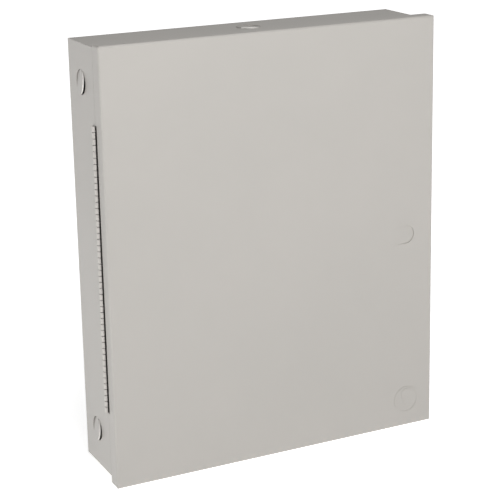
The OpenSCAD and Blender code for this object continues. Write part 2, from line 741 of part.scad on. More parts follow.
// Push button: a round cap held behind the frame by its flange, on a stem
module button(x) {
    flange_y = disp_y + plate_t + flange_gap;
    rod(x, button_z, flange_y, disp_y - button_out + 0.5, button_r);
    rod(x, button_z, disp_y - button_out + 0.5, disp_y - button_out, button_r - 0.5);
    rod(x, button_z, flange_y + flange[1], flange_y, button_r + flange[0]);
    rod(x, button_z, switch_y + stem_end, flange_y + 1, stem_r);
}

module button_acknowledge() color(cap_grey) button(button_x[0]);

module button_silence() color(cap_grey) button(button_x[1]);

module button_drill() color(cap_grey) button(button_x[2]);

module button_reset() color(wire_red) button(button_x[3]);

// --- power supply ---

module transformer_core() color(core_grey) translate([coil_x, coil_y, coil_z]) difference() {
    cube(core, center = true);
    for (side = [-1, 1]) translate([side * core_slot[0], 0, 0])
        cube([core_slot[1], core[1] + 2 * eps, coil[2]], center = true);
}

module transformer_coil() color(coil_tape) translate([coil_x, coil_y, coil_z]) difference() {
    translate([0, 0, -coil[2] / 2 + 0.2]) linear_extrude(coil[2] - 0.4)
        rounded([-coil[0] / 2 + 0.3, -coil[1] / 2], [coil[0] / 2 - 0.3, coil[1] / 2], 5);
    cube([2 * core_slot[0] - core_slot[1], core[1], coil[2] + 1], center = true);
}

module transformer_brackets() color(zinc) for (side = [0, 1]) translate([coil_x, 0, coil_z])
    mirror([0, 0, side]) difference() {
        union() {
            block([-bracket[0], coil_y - core[1] / 2, core[2] / 2],
                [bracket[0], back_y, core[2] / 2 + foot_t]);
            block([-bracket[1], back_y - foot_t, core[2] / 2],
                [bracket[1], back_y, core[2] / 2 + bracket[2]]);
        }
        for (dx = [-bracket_dx, bracket_dx]) rod(dx, bracket_dz, eps, back_y - 3, stud_r + 0.2);
    }

module mains_block() color(black) translate([mains_pos[0], back_y, mains_pos[1]]) {
    half = mains[0] / 2;
    difference() {
        block([-half, -mains[1], -mains[2]], [half, 0, mains[2]]);
        for (i = [-1:1]) block([i * mains_pitch - mains_slot, -mains[1] - eps, -mains[2] - eps],
            [i * mains_pitch + mains_slot, -mains_floor, mains[2] + eps]);
    }
    difference() {
        block([-half - mains_ear[0], -foot_t, -mains_ear[1]], [half + mains_ear[0], 0, mains_ear[1]]);
        for (dx = [-mains_dx, mains_dx]) rod(dx, 0, eps, -3, stud_r + 0.2);
    }
}

module mains_screws() color(zinc) translate([mains_pos[0], back_y - mains_floor, mains_pos[1]])
    for (i = [-1:1], dz = mains_clamp_z) difference() {
        rod(i * mains_pitch, dz, 0, -mains_clamp[1], mains_clamp[0]);
        block([i * mains_pitch - 4, -mains_clamp[1] - eps, dz - head[3]],
            [i * mains_pitch + 4, -mains_clamp[1] + 1, dz + head[3]]);
    }

module mains_cover() color(clear_plastic, 0.5) translate([mains_pos[0], back_y, mains_pos[1]]) {
    h = cover_half;
    over = 2 * cover_r;
    difference() {
        folded([-h[0], -cover_h, -h[1]], [h[0], over, h[1]], cover_r);
        block([-h[0] + cover_t, -cover_h + cover_t, -h[1] - eps], [h[0] - cover_t, eps, h[1] - cover_t]);
        block([-h[0] - eps, 0, -h[1] - eps], [h[0] + eps, over + eps, h[1] + eps]);
    }
}

// A wire's end on the mains block: it lies on the seat and stops at the screw
seat_y = back_y - mains_floor - wire_d / 2 - wire_gap;
seat_z = mains_pos[1] + mains_clamp_z[0] - mains_clamp[0] - wire_gap;

module primary_wires() color(black) for (i = [-1, 0]) {
    x = mains_pos[0] + i * mains_pitch;
    front = coil_y - 18;
    top = coil_z + coil[2] / 2 - 0.1;
    wire([[x, front, top], [x, front, top + 8], [x, front, top + 16], [x, -26, 66], [x, -13, 86],
        [x, seat_y, 95], [x, seat_y, seat_z]], wire_d);
}

module secondary_wires() color(wire_yellow) for (z = [4, 9]) {
    x = coil_x + coil[0] / 2 - 0.3 + wire_gap;
    y = coil_y - 20;
    end = power_socket[0][0] - wire_gap;
    wire([[x, y, z], [x + 5, y, z], [x + 10, y + 1, z], [-98, -40, z], [-94, -29, z], [end - 6, -21.6, z],
        [end - 3, -21, z], [end, -21, z]], wire_d);
}

module ground_wire() color(wire_green) {
    x = mains_pos[0] + mains_pitch;
    y = back_y - wire_d / 2 - wire_gap;
    end = ground_stud[0] + ground_ring[0] + wire_gap;
    wire([[x, seat_y, seat_z], [x, seat_y, seat_z - 6], [x, -9, 90], [x - 0.5, -6, 83], [x - 3, -3.6, 77.5],
        [end + 3, y, ground_stud[1]], [end, y, ground_stud[1]]], wire_d);
    difference() {
        rod(ground_stud[0], ground_stud[1], back_y, back_y - ground_ring[1], ground_ring[0]);
        rod(ground_stud[0], ground_stud[1], eps, back_y - 2, stud_r + 0.2);
    }
}

// --- batteries ---

// Sealed battery: case with a grooved lid
module battery(x) translate([x, battery_y, battery_z]) {
    seat = battery_h - lid_h;
    groove = lid_groove[0];
    linear_extrude(seat - lid_groove[1]) rounded([0, 0], [battery_w, battery_d], battery_r);
    translate([0, 0, seat - lid_groove[1]]) linear_extrude(lid_groove[1])
        rounded([groove, groove], [battery_w - groove, battery_d - groove], battery_r);
    translate([0, 0, seat]) linear_extrude(lid_h) rounded([0, 0], [battery_w, battery_d], battery_r);
}

module battery_left() color(black) battery(left_x);

module battery_right() color(black) battery(right_x);

module battery_tabs() color(zinc) for (x = tab_x)
    block([x - tab_half[0], tab_y - tab_half[1], battery_top],
        [x + tab_half[0], tab_y + tab_half[1], tab_top]);

module tab_boots() color(wire_red) for (x = tab_x) difference() {
    block([x - boot[0] / 2, tab_y - boot[1] / 2, boot_z], [x + boot[0] / 2, tab_y + boot[1] / 2, lead_z]);
    block([x - tab_half[0] - 0.2, tab_y - tab_half[1] - 0.2, boot_z - eps],
        [x + tab_half[0] + 0.2, tab_y + tab_half[1] + 0.2, tab_top + 0.3]);
}

// Straight start of a battery lead, up out of its boot
function lead_start(x) = [for (rise = [0, 5, 10]) [x, tab_y, lead_z + rise]];

// Straight end of a battery lead, up into the battery plug
function lead_end(x) = [for (drop = [12, 6, wire_gap]) [x, -21, battery_socket[0][1] - drop]];

module battery_lead_red() color(wire_red) wire(concat(lead_start(tab_x[0]), [[tab_x[0] + 3, tab_y + 3, -92],
    [-128, tab_y + 8, -84], [-108, -36, -72], [-86, -26, -60]], lead_end(-80)), wire_d);

module battery_lead_black() color(black) wire(concat(lead_start(tab_x[3]), [[tab_x[3] - 3, tab_y + 3, -92],
    [126, tab_y + 8, -84], [104, -38, -78], [0, -34, -74], [-56, -28, -70], [-70, -23, -61]],
    lead_end(-74.5)), wire_d);

module battery_jumper() color(black) wire(concat(lead_start(tab_x[1]), [[tab_x[1] + 5, tab_y, -94],
    [tab_x[2] - 5, tab_y, -94]], [for (i = [2:-1:0]) lead_start(tab_x[2])[i]]), wire_d);

backbox();
weld_studs();
stud_nuts();
hinge_body_leaf();
hinge_pin();
hinge_door_leaf();
door();
door_label();
standoffs();
main_board();
board_screws();
terminal_blocks();
terminal_screws();
relays();
capacitors();
heat_sink();
power_devices();
fuse_holders();
fuses();
chips();
pin_headers();
sounder();
plug_sockets();
ribbon_cable();
display_standoffs();
display_board();
display_frame();
display_screws();
lcd_module();
lcd_glass();
alarm_leds();
trouble_leds();
power_led();
switch_bodies();
button_acknowledge();
button_silence();
button_drill();
button_reset();
transformer_core();
transformer_coil();
transformer_brackets();
mains_block();
mains_screws();
mains_cover();
primary_wires();
secondary_wires();
ground_wire();
battery_left();
battery_right();
battery_tabs();
tab_boots();
battery_lead_red();
battery_lead_black();
battery_jumper();
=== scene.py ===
"""Looks of a wall-mounted fire alarm control panel: a light grey enamelled steel cabinet with a
piano-hinged door, and behind it the control board, display, transformer and standby batteries."""

import math
import random

import bmesh
import bpy
from mathutils import Matrix, Vector


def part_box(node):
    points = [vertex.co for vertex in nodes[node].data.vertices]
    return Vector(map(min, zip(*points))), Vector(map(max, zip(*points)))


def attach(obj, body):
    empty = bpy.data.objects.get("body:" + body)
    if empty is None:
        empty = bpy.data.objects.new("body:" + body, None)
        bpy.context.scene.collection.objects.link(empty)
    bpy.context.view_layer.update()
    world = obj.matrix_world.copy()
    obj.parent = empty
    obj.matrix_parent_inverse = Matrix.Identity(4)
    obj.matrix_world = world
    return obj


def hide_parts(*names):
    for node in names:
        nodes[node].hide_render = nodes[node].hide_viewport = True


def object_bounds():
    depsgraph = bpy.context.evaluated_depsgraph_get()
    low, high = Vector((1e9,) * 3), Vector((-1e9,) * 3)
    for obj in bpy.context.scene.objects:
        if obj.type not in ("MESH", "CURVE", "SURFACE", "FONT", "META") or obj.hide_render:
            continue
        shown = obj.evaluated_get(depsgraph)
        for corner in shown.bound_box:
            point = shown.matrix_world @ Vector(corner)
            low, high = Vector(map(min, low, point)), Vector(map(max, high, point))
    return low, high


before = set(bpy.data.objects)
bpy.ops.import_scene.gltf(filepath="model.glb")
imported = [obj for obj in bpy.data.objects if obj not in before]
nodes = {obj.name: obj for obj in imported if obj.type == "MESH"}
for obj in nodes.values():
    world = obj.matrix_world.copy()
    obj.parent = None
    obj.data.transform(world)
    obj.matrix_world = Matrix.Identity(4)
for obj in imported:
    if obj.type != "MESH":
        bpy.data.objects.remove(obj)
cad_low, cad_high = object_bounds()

MM = 0.001


# ---------------------------------------------------------------- shader helpers

def linear(hex_colour):
    """An sRGB hex colour as linear RGBA."""
    parts = [int(hex_colour[i:i + 2], 16) / 255 for i in (1, 3, 5)]
    return [c / 12.92 if c <= 0.04045 else ((c + 0.055) / 1.055) ** 2.4 for c in parts] + [1.0]


def add(tree, kind, values=None, links=None, stops=None, **settings):
    """Adds one node: its settings, its socket values, its incoming links and its ramp stops."""
    made = tree.nodes.new(kind)
    for key, value in settings.items():
        setattr(made, key, value)
    for key, value in (values or {}).items():
        made.inputs[key].default_value = value
    for key, socket in (links or {}).items():
        tree.links.new(socket, made.inputs[key])
    if stops:
        ramp = made.color_ramp.elements
        while len(ramp) < len(stops):
            ramp.new(0.5)
        for element, (place, colour) in zip(ramp, stops):
            element.position = place
            element.color = colour if isinstance(colour, list) else [colour] * 3 + [1]
    return made


def new_material(name, **shader_values):
    """A material with one Principled shader whose uniform values are set on its own sockets."""
    material = bpy.data.materials.new(name)
    material.use_nodes = True
    tree = material.node_tree
    shader = tree.nodes["Principled BSDF"]
    for key, value in shader_values.items():
        shader.inputs[key.replace("_", " ")].default_value = value
    place = add(tree, "ShaderNodeTexCoord").outputs["Object"]
    return material, tree, shader, place


def per_metre(size_mm):
    """Texture scale whose features are about that many millimetres across."""
    return 1 / (size_mm * MM)


def lay(tree, shader, tone, grain, low, high, height=None, strength=0.0, depth=0.0):
    """Joins a tone to the shader, a roughness between low and high that follows the grain and,
    where a height is given, a relief depth mm deep."""
    tree.links.new(tone, shader.inputs["Base Color"])
    gloss = add(tree, "ShaderNodeMapRange", {"To Min": low, "To Max": high}, {"Value": grain})
    tree.links.new(gloss.outputs["Result"], shader.inputs["Roughness"])
    if height is not None:
        relief = add(tree, "ShaderNodeBump", {"Strength": strength, "Distance": depth * MM},
                     {"Height": height})
        tree.links.new(relief.outputs["Normal"], shader.inputs["Normal"])


# ---------------------------------------------------------------- finishes

# Dark oily steel that is also painted shade in the hinge crevice, and a pale tone that is a painted
# highlight on slug edges
OILY_STEEL_AND_CREVICE_SHADE, SLUG_EDGE_HIGHLIGHT = "#3b3735", "#e9e6e2"


def baked_enamel(name, light, dark, bare=None, slug_highlight_at=None):
    """Baked enamel on folded steel: sprayed, so it has a faint orange peel about 2 mm across and
    a slow drift of tone over the sheet. With bare, the enamel stops at that X and dark oily steel
    shows further in, as on a hinge that was masked between its knuckles; the same dark steel is
    painted shade for the crevice between the hinge barrel and the door flange, and darkens the
    barrel's inner half. Given a half width and top for the slug highlight, the forward-facing edges
    of slugs that stand out past them are painted pale: a painted highlight."""
    material, tree, shader, place = new_material(name, IOR=1.5)
    drift = add(tree, "ShaderNodeTexNoise",
                {"Scale": per_metre(150), "Detail": 3, "Roughness": 0.55}, {"Vector": place})
    tone = add(tree, "ShaderNodeMix", {"A": linear(dark), "B": linear(light)},
               {"Factor": drift.outputs["Fac"]}, data_type="RGBA").outputs["Result"]
    spot = add(tree, "ShaderNodeSeparateXYZ", links={"Vector": place}).outputs
    other_tones = []
    # Painted shade: inward of bare the hinge takes dark steel, which darkens the crevice by the
    # barrel
    if bare:
        inside = add(tree, "ShaderNodeMath", {1: bare * MM}, {0: spot["X"]},
                     operation="GREATER_THAN")
        other_tones.append((inside.outputs[0], OILY_STEEL_AND_CREVICE_SHADE))
    # Painted highlight: the forward-facing edges of raised slugs take a pale tone
    if slug_highlight_at:
        half_width, top = slug_highlight_at
        from_middle = add(tree, "ShaderNodeMath", links={0: spot["X"]}, operation="ABSOLUTE")
        facing = add(tree, "ShaderNodeSeparateXYZ", links={"Vector": place.node.outputs["Normal"]})
        beside, above, behind, forward = [
            add(tree, "ShaderNodeMath", {1: limit}, {0: value}, operation=test).outputs[0]
            for value, test, limit in ((from_middle.outputs[0], "GREATER_THAN", half_width * MM),
                                       (spot["Z"], "GREATER_THAN", top * MM),
                                       (spot["Y"], "GREATER_THAN", SLUG_FRONT * MM),
                                       (facing.outputs["Y"], "LESS_THAN", -0.5))]
        edge = add(tree, "ShaderNodeMath", links={0: beside, 1: above}, operation="MAXIMUM")
        for test in (behind, forward):
            edge = add(tree, "ShaderNodeMath", links={0: edge.outputs[0], 1: test},
                       operation="MULTIPLY")
        other_tones.append((edge.outputs[0], SLUG_EDGE_HIGHLIGHT))
    for mask, colour in other_tones:
        tone = add(tree, "ShaderNodeMix", {"B": linear(colour)}, {"Factor": mask, "A": tone},
                   data_type="RGBA").outputs["Result"]
    speck = add(tree, "ShaderNodeTexNoise", {"Scale": per_metre(1.1), "Detail": 2},
                {"Vector": place})
    peel = add(tree, "ShaderNodeTexNoise",
               {"Scale": per_metre(2.0), "Detail": 1.5, "Roughness": 0.4}, {"Vector": place})
    lay(tree, shader, tone, speck.outputs["Fac"], 0.38, 0.50, peel.outputs["Fac"], 0.12, 0.05)
    return material


def moulded(name, colour, worn, low, high, grain=0.35, depth=0.03, **shader_values):
    """Moulded plastic: a spark-eroded mould leaves a fine grain, the melt a slow drift of tone,
    and handling a few paler, glossier patches. low and high are the ends of its roughness."""
    material, tree, shader, place = new_material(name, **{"IOR": 1.52, **shader_values})
    flow = add(tree, "ShaderNodeTexNoise", {"Scale": per_metre(14), "Detail": 4, "Roughness": 0.6},
               {"Vector": place})
    tone = add(tree, "ShaderNodeValToRGB", links={"Fac": flow.outputs["Fac"]},
               stops=[(0.30, linear(colour)), (0.62, linear(colour)), (0.85, linear(worn))])
    skin = add(tree, "ShaderNodeTexNoise", {"Scale": per_metre(grain), "Detail": 3},
               {"Vector": place})
    lay(tree, shader, tone.outputs["Color"], skin.outputs["Fac"], low, high,
        skin.outputs["Fac"], 0.35, depth)
    return material


def plated(name, bright, dull, low, high, streak=(1.0, 1.0, 1.0)):
    """Plated or bare metal: the finish is a little cloudy, with fine draw or barrel marks that
    run the way of streak, and duller spots where it has been touched."""
    material, tree, shader, place = new_material(name, Metallic=1.0)
    cloud = add(tree, "ShaderNodeTexNoise",
                {"Scale": per_metre(2.5), "Detail": 4, "Roughness": 0.65}, {"Vector": place})
    tone = add(tree, "ShaderNodeMix", {"A": linear(dull), "B": linear(bright)},
               {"Factor": cloud.outputs["Fac"]}, data_type="RGBA")
    drawn = add(tree, "ShaderNodeMapping", {"Scale": streak}, {"Vector": place})
    marks = add(tree, "ShaderNodeTexNoise", {"Scale": per_metre(0.4), "Detail": 2},
                {"Vector": drawn.outputs["Vector"]})
    lay(tree, shader, tone.outputs["Result"], cloud.outputs["Fac"], low, high,
        marks.outputs["Fac"], 0.25, 0.02)
    return material


def banded(name, axis, pitch, first, second, low, high, depth, metallic=0.0, sharp=0.5):
    """A surface with even bands along one axis, pitch mm apart: stacked laminations, wound tape or
    the ribs of a flat cable. sharp is the part of each band that takes the second colour. The first
    colour lies in the low part of each band and the second on its raised part, so on the flat cable
    the grooves carry painted shade and the ribs a painted highlight."""
    material, tree, shader, place = new_material(name, Metallic=metallic)
    along = add(tree, "ShaderNodeSeparateXYZ", links={"Vector": place}).outputs[axis]
    turns = add(tree, "ShaderNodeMath", {1: 2 * math.pi / (pitch * MM)}, {0: along},
                operation="MULTIPLY")
    wave = add(tree, "ShaderNodeMath", links={0: turns.outputs[0]}, operation="SINE")
    height = add(tree, "ShaderNodeMapRange", {"From Min": -1, "From Max": 1},
                 {"Value": wave.outputs[0]})
    dirt = add(tree, "ShaderNodeTexNoise", {"Scale": per_metre(6), "Detail": 4}, {"Vector": place})
    # First colour in the low part of each band, second on the raised part: on the flat cable,
    # painted shade in its grooves
    tone = add(tree, "ShaderNodeValToRGB", links={"Fac": height.outputs["Result"]},
               stops=[(sharp - 0.12, linear(first)), (sharp + 0.12, linear(second))])
    mixed = add(tree, "ShaderNodeMix", {"Factor": 0.35},
                {"A": tone.outputs["Color"], "B": dirt.outputs["Fac"]},
                data_type="RGBA", blend_type="OVERLAY")
    lay(tree, shader, mixed.outputs["Result"], dirt.outputs["Fac"], low, high,
        height.outputs["Result"], 0.8, depth)
    return material


TRACK_PITCH, HOLE_GRID = 1.27, 5.08  # mm, between copper tracks and between dotted holes


def solder_mask(name, green, copper_green, hole_tin):
    """Solder mask over a glass laminate: copper tracks show through it as paler lines in blocks
    that run one way or the other, and tinned through-holes dot it on a loose grid."""
    material, tree, shader, place = new_material(name, IOR=1.55, Coat_Weight=0.5,
                                                 Coat_Roughness=0.18)
    axes = add(tree, "ShaderNodeSeparateXYZ", links={"Vector": place})
    flat = add(tree, "ShaderNodeCombineXYZ", links={"X": axes.outputs["X"], "Y": axes.outputs["Z"]})
    areas = add(tree, "ShaderNodeTexVoronoi", {"Scale": per_metre(17), "Randomness": 0.9},
                {"Vector": flat.outputs["Vector"]}, voronoi_dimensions="2D", distance="CHEBYCHEV")
    choice = add(tree, "ShaderNodeSeparateColor", links={"Color": areas.outputs["Color"]})
    tracks = []
    for axis in ("X", "Z"):
        turns = add(tree, "ShaderNodeMath", {1: 2 * math.pi / (TRACK_PITCH * MM)},
                    {0: axes.outputs[axis]}, operation="MULTIPLY")
        wave = add(tree, "ShaderNodeMath", links={0: turns.outputs[0]}, operation="SINE")
        track = add(tree, "ShaderNodeMath", {1: 0.15}, {0: wave.outputs[0]},
                    operation="GREATER_THAN")
        tracks.append(track.outputs[0])
    way = add(tree, "ShaderNodeMath", {1: 0.5}, {0: choice.outputs["Red"]},
              operation="GREATER_THAN")
    lines = add(tree, "ShaderNodeMix",
                links={"Factor": way.outputs[0], "A": tracks[0], "B": tracks[1]})
    used = add(tree, "ShaderNodeMath", {1: 0.42}, {0: choice.outputs["Green"]},
               operation="GREATER_THAN")
    shown = add(tree, "ShaderNodeMath", links={0: lines.outputs["Result"], 1: used.outputs[0]},
                operation="MULTIPLY")
    base = add(tree, "ShaderNodeMix", {"A": linear(green), "B": linear(copper_green)},
               {"Factor": shown.outputs[0]}, data_type="RGBA")
    vias = add(tree, "ShaderNodeTexVoronoi", {"Scale": per_metre(HOLE_GRID), "Randomness": 0.35},
               {"Vector": flat.outputs["Vector"]}, voronoi_dimensions="2D")
    dot = add(tree, "ShaderNodeMath", {1: 0.11}, {0: vias.outputs["Distance"]},
              operation="LESS_THAN")
    tone = add(tree, "ShaderNodeMix", {"B": linear(hole_tin)},
               {"Factor": dot.outputs[0], "A": base.outputs["Result"]}, data_type="RGBA")
    lay(tree, shader, tone.outputs["Result"], dot.outputs[0], 0.38, 0.26,
        shown.outputs[0], 0.6, 0.035)
    return material


def printed_film(name, paper, shade):
    """Printed film or card: matt, with a faint fibre and a slight yellowing in patches."""
    material, tree, shader, place = new_material(name, IOR=1.5)
    fibre = add(tree, "ShaderNodeTexNoise",
                {"Scale": per_metre(0.8), "Detail": 6, "Roughness": 0.7}, {"Vector": place})
    ageing = add(tree, "ShaderNodeTexNoise", {"Scale": per_metre(60), "Detail": 2},
                 {"Vector": place})
    both = add(tree, "ShaderNodeMath", links={0: fibre.outputs["Fac"], 1: ageing.outputs["Fac"]},
               operation="MULTIPLY")
    tone = add(tree, "ShaderNodeValToRGB", links={"Fac": both.outputs[0]},
               stops=[(0.12, linear(shade)), (0.4, linear(paper))])
    lay(tree, shader, tone.outputs["Color"], fibre.outputs["Fac"], 0.45, 0.65)
    return material


def clear(name, tint, low, high, index, weight=1.0, **shader_values):
    """Clear glass or plastic, with a trace of haze and fine handling marks in its gloss."""
    material, tree, shader, place = new_material(name, IOR=index, Transmission_Weight=weight,
                                                 **shader_values)
    haze = add(tree, "ShaderNodeTexNoise", {"Scale": per_metre(5), "Detail": 5, "Roughness": 0.7},
               {"Vector": place})
    paler = [c ** 0.8 for c in linear(tint)]
    tone = add(tree, "ShaderNodeMix", {"A": linear(tint), "B": paler},
               {"Factor": haze.outputs["Fac"]}, data_type="RGBA")
    lay(tree, shader, tone.outputs["Result"], haze.outputs["Fac"], low, high)
    return material


ENAMEL_LIGHT, ENAMEL_DARK = "#b2aea9", "#aca9a4"
HINGE_FACE = -184.2                 # X, mm, where the hinge's enamel stops and dark steel, painted crevice shade, begins
SLUG_FRONT = -60                    # Y, mm, behind which anything that stands out is a slug
CABINET_HALF, CABINET_TOP = 183.5, 222.5    # mm, the body's side and top faces

cabinet_enamel = baked_enamel("baked_enamel", ENAMEL_LIGHT, ENAMEL_DARK)
enamel_with_slug_highlight = baked_enamel("baked_enamel_over_knockouts", ENAMEL_LIGHT, ENAMEL_DARK,
                              slug_highlight_at=(CABINET_HALF + 0.15, CABINET_TOP + 0.1))
# Painted highlight: the hinge's enamel is paler than the cabinet's to stand in for the light its
# barrel catches
hinge_enamel_painted_light = baked_enamel("enamelled_hinge_steel", "#c2beb9", "#b8b4af", HINGE_FACE)
zinc = plated("zinc_plated_steel", "#c3c6c8", "#8e9194", 0.24, 0.42)
brass = plated("turned_brass", "#c9a75c", "#8f7138", 0.22, 0.4, (0.3, 6.0, 0.3))
tin = plated("tinned_bronze", "#d2d0ca", "#a7a49c", 0.2, 0.38)
aluminium = plated("extruded_aluminium", "#b9bcbf", "#8b8e92", 0.3, 0.46, (4.0, 0.2, 4.0))
board_mask = solder_mask("solder_mask", "#0f4a29", "#1d6b3c", "#b8b6ac")
terminal_pa = moulded("moulded_polyamide_green", "#1f6e3d", "#3d8a58", 0.42, 0.55)
relay_pbt = moulded("moulded_pbt_blue", "#1b3f83", "#3a5c9d", 0.3, 0.44)
sleeve_pvc = moulded("shrunk_sleeve", "#20284f", "#39426e", 0.22, 0.34, 1.5, 0.02)
black_epoxy = moulded("moulded_epoxy_black", "#1c1c1e", "#343437", 0.44, 0.58)
black_nylon = moulded("moulded_nylon_black", "#19191b", "#313134", 0.4, 0.55)
natural_nylon = moulded("moulded_nylon_natural", "#d9d3bf", "#e6e1d1", 0.35, 0.5,
                        Subsurface_Weight=0.08, Subsurface_Radius=(0.001, 0.0008, 0.0006),
                        Subsurface_Scale=1.0)
frame_abs = moulded("grained_abs_dark", "#3a3d41", "#54575c", 0.46, 0.6, 0.6, 0.06)
battery_abs = moulded("moulded_abs_battery", "#2b2c2f", "#45474a", 0.36, 0.52, 0.7, 0.05)
cap_grey = moulded("moulded_cap_grey", "#c3c1ba", "#d5d3cd", 0.34, 0.48)
cap_red = moulded("moulded_cap_red", "#9a2c25", "#b5483f", 0.34, 0.48)
black_pvc = moulded("extruded_pvc_black", "#1b1b1c", "#39393b", 0.3, 0.42, 0.8, 0.02)
yellow_pvc = moulded("extruded_pvc_yellow", "#d0a91f", "#dfc04a", 0.3, 0.42, 0.8, 0.02)
green_pvc = moulded("extruded_pvc_green", "#23733a", "#46905a", 0.3, 0.42, 0.8, 0.02)
red_pvc = moulded("extruded_pvc_red", "#a9231b", "#c0483f", 0.3, 0.42, 0.8, 0.02)
# Painted shade and highlight: the ribbon's grooves take the darker grey and its ribs the paler one
ribbon = banded("ribbed_ribbon_pvc", "Z", 1.27, "#6d7074", "#a2a5a8", 0.38, 0.5, 0.25)
laminations = banded("varnished_laminations", "Y", 0.9, "#1d1c1c", "#4a4744", 0.3, 0.5, 0.06,
                     0.5, 0.35)
tape = banded("wound_polyester_tape", "Z", 9.0, "#a07a1c", "#d2a63a", 0.2, 0.32, 0.12, 0.0, 0.1)
label_film = printed_film("printed_label_film", "#e9e7e0", "#dbd7ca")
grey_ink = printed_film("grey_screen_ink", "#5b6066", "#4c5156")
white_ink = printed_film("white_screen_ink", "#e4e3dc", "#d2d1ca")
blue_ink = printed_film("blue_screen_ink", "#3c5f86", "#314f72")
fuse_glass = clear("drawn_fuse_glass", "#e8f2f0", 0.02, 0.06, 1.5)
cover_pc = clear("moulded_polycarbonate", "#dfe8ea", 0.05, 0.14, 1.58)
lcd_cell = clear("lcd_cell_glass", "#97a858", 0.06, 0.12, 1.5, 0.0)
lens_red = clear("cast_epoxy_red", "#a3140f", 0.12, 0.22, 1.55, 0.45)
lens_amber = clear("cast_epoxy_amber", "#c77a0c", 0.12, 0.22, 1.55, 0.45)
lens_green = clear("cast_epoxy_green", "#1f8a34", 0.12, 0.22, 1.55, 0.45, Emission_Strength=1.2,
                   Emission_Color=linear("#3fd65a"))

FINISHES = {
    cabinet_enamel: ["door"],
    enamel_with_slug_highlight: ["backbox"],
    hinge_enamel_painted_light: ["hinge_body_leaf", "hinge_door_leaf"],
    zinc: ["weld_studs", "stud_nuts", "hinge_pin", "board_screws", "terminal_screws",
           "display_screws", "transformer_brackets"],
    brass: ["standoffs", "display_standoffs", "mains_screws"],
    tin: ["fuse_holders", "battery_tabs"],
    aluminium: ["heat_sink"],
    board_mask: ["main_board", "display_board"],
    terminal_pa: ["terminal_blocks"],
    relay_pbt: ["relays"],
    sleeve_pvc: ["capacitors"],
    black_epoxy: ["power_devices", "chips"],
    black_nylon: ["pin_headers", "sounder", "lcd_module", "switch_bodies", "mains_block"],
    natural_nylon: ["plug_sockets"],
    frame_abs: ["display_frame"],
    battery_abs: ["battery_left", "battery_right"],
    cap_grey: ["button_acknowledge", "button_silence", "button_drill"],
    cap_red: ["button_reset"],
    black_pvc: ["primary_wires", "battery_lead_black", "battery_jumper"],
    yellow_pvc: ["secondary_wires"],
    green_pvc: ["ground_wire"],
    red_pvc: ["battery_lead_red", "tab_boots"],
    ribbon: ["ribbon_cable"],
    laminations: ["transformer_core"],
    tape: ["transformer_coil"],
    label_film: ["door_label"],
    fuse_glass: ["fuses"],
    cover_pc: ["mains_cover"],
    lcd_cell: ["lcd_glass"],
    lens_red: ["alarm_leds"],
    lens_amber: ["trouble_leds"],
    lens_green: ["power_led"],
}
for material, names in FINISHES.items():
    for name in names:
        for holder in nodes[name].material_slots:
            holder.material = material

# Mould and press radii, in mm, on the edges of the parts as designed
EDGES = {0.25: ["relays", "chips", "power_devices", "plug_sockets", "pin_headers", "switch_bodies",
                "terminal_blocks", "lcd_module"],
         0.5: ["mains_block", "battery_left", "battery_right", "display_frame"],
         0.8: ["tab_boots"],
         0.15: ["terminal_screws", "mains_screws", "fuse_holders", "transformer_brackets",
                "heat_sink", "stud_nuts", "transformer_core"]}


def soften(made, radius):
    """Rounds the sharp edges of a piece, as a mould or a press leaves them."""
    edge = made.modifiers.new("edge", "BEVEL")
    edge.width = radius * MM
    edge.segments = 2
    edge.limit_method = "ANGLE"
    edge.angle_limit = math.radians(40)
    edge.use_clamp_overlap = True
    edge.harden_normals = True


for radius, names in EDGES.items():
    for name in names:
        soften(nodes[name], radius)


# ---------------------------------------------------------------- mesh helpers, sizes in mm

def slab(work, low, high, finish=0):
    """A block between two corners."""
    corners = [(x, y, z) for x in (low[0], high[0]) for y in (low[1], high[1])
               for z in (low[2], high[2])]
    points = [work.verts.new([c * MM for c in corner]) for corner in corners]
    for face in ((0, 1, 3, 2), (4, 6, 7, 5), (0, 4, 5, 1), (2, 3, 7, 6), (0, 2, 6, 4),
                 (1, 5, 7, 3)):
        work.faces.new([points[i] for i in face]).material_index = finish


def bridge(work, rings, finish=0, smooth=False):
    """Joins each ring of points to the next with a band of faces."""
    for first, second in zip(rings, rings[1:]):
        for i in range(len(first)):
            j = (i + 1) % len(first)
            corners = [first[i], first[j], second[j], second[i]]
            face = work.faces.new(list(dict.fromkeys(corners)))
            face.material_index = finish
            face.smooth = smooth


def turned(work, centre, axis, profile, around=32, finish=0):
    """A turned shape: profile holds (radius, distance along the axis), from end to end."""
    aim = Vector(axis).normalized()
    side = aim.orthogonal().normalized()
    other = aim.cross(side)
    rings = []
    for radius, along in profile:
        spot = Vector(centre) + along * aim
        if radius == 0:
            rings.append([work.verts.new(spot * MM)] * around)
            continue
        turn = [2 * math.pi * i / around for i in range(around)]
        rings.append([work.verts.new((spot + radius * (math.cos(a) * side
                                                       + math.sin(a) * other)) * MM) for a in turn])
    bridge(work, rings, finish, True)
    for ring in (rings[0], rings[-1]):
        if ring[0] is not ring[1]:
            work.faces.new(ring).material_index = finish


def outline(work, low, high, y, width, height, finish=0):
    """A thin printed or raised frame on a face that looks forward, its back at y."""
    for a, b in (((low[0], low[1]), (high[0], low[1] + width)), ((low[0], high[1] - width), high),
                 ((low[0], low[1] + width), (low[0] + width, high[1] - width)),
                 ((high[0] - width, low[1] + width), (high[0], high[1] - width))):
        slab(work, (a[0], y - height, a[1]), (b[0], y, b[1]), finish)


def settle(made, body, stands_for):
    """Puts a new piece in the scene, riding on its body and in place of the
    designed nodes it stands for."""
    bpy.context.scene.collection.objects.link(made)
    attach(made, body)
    if stands_for:
        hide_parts(*stands_for)


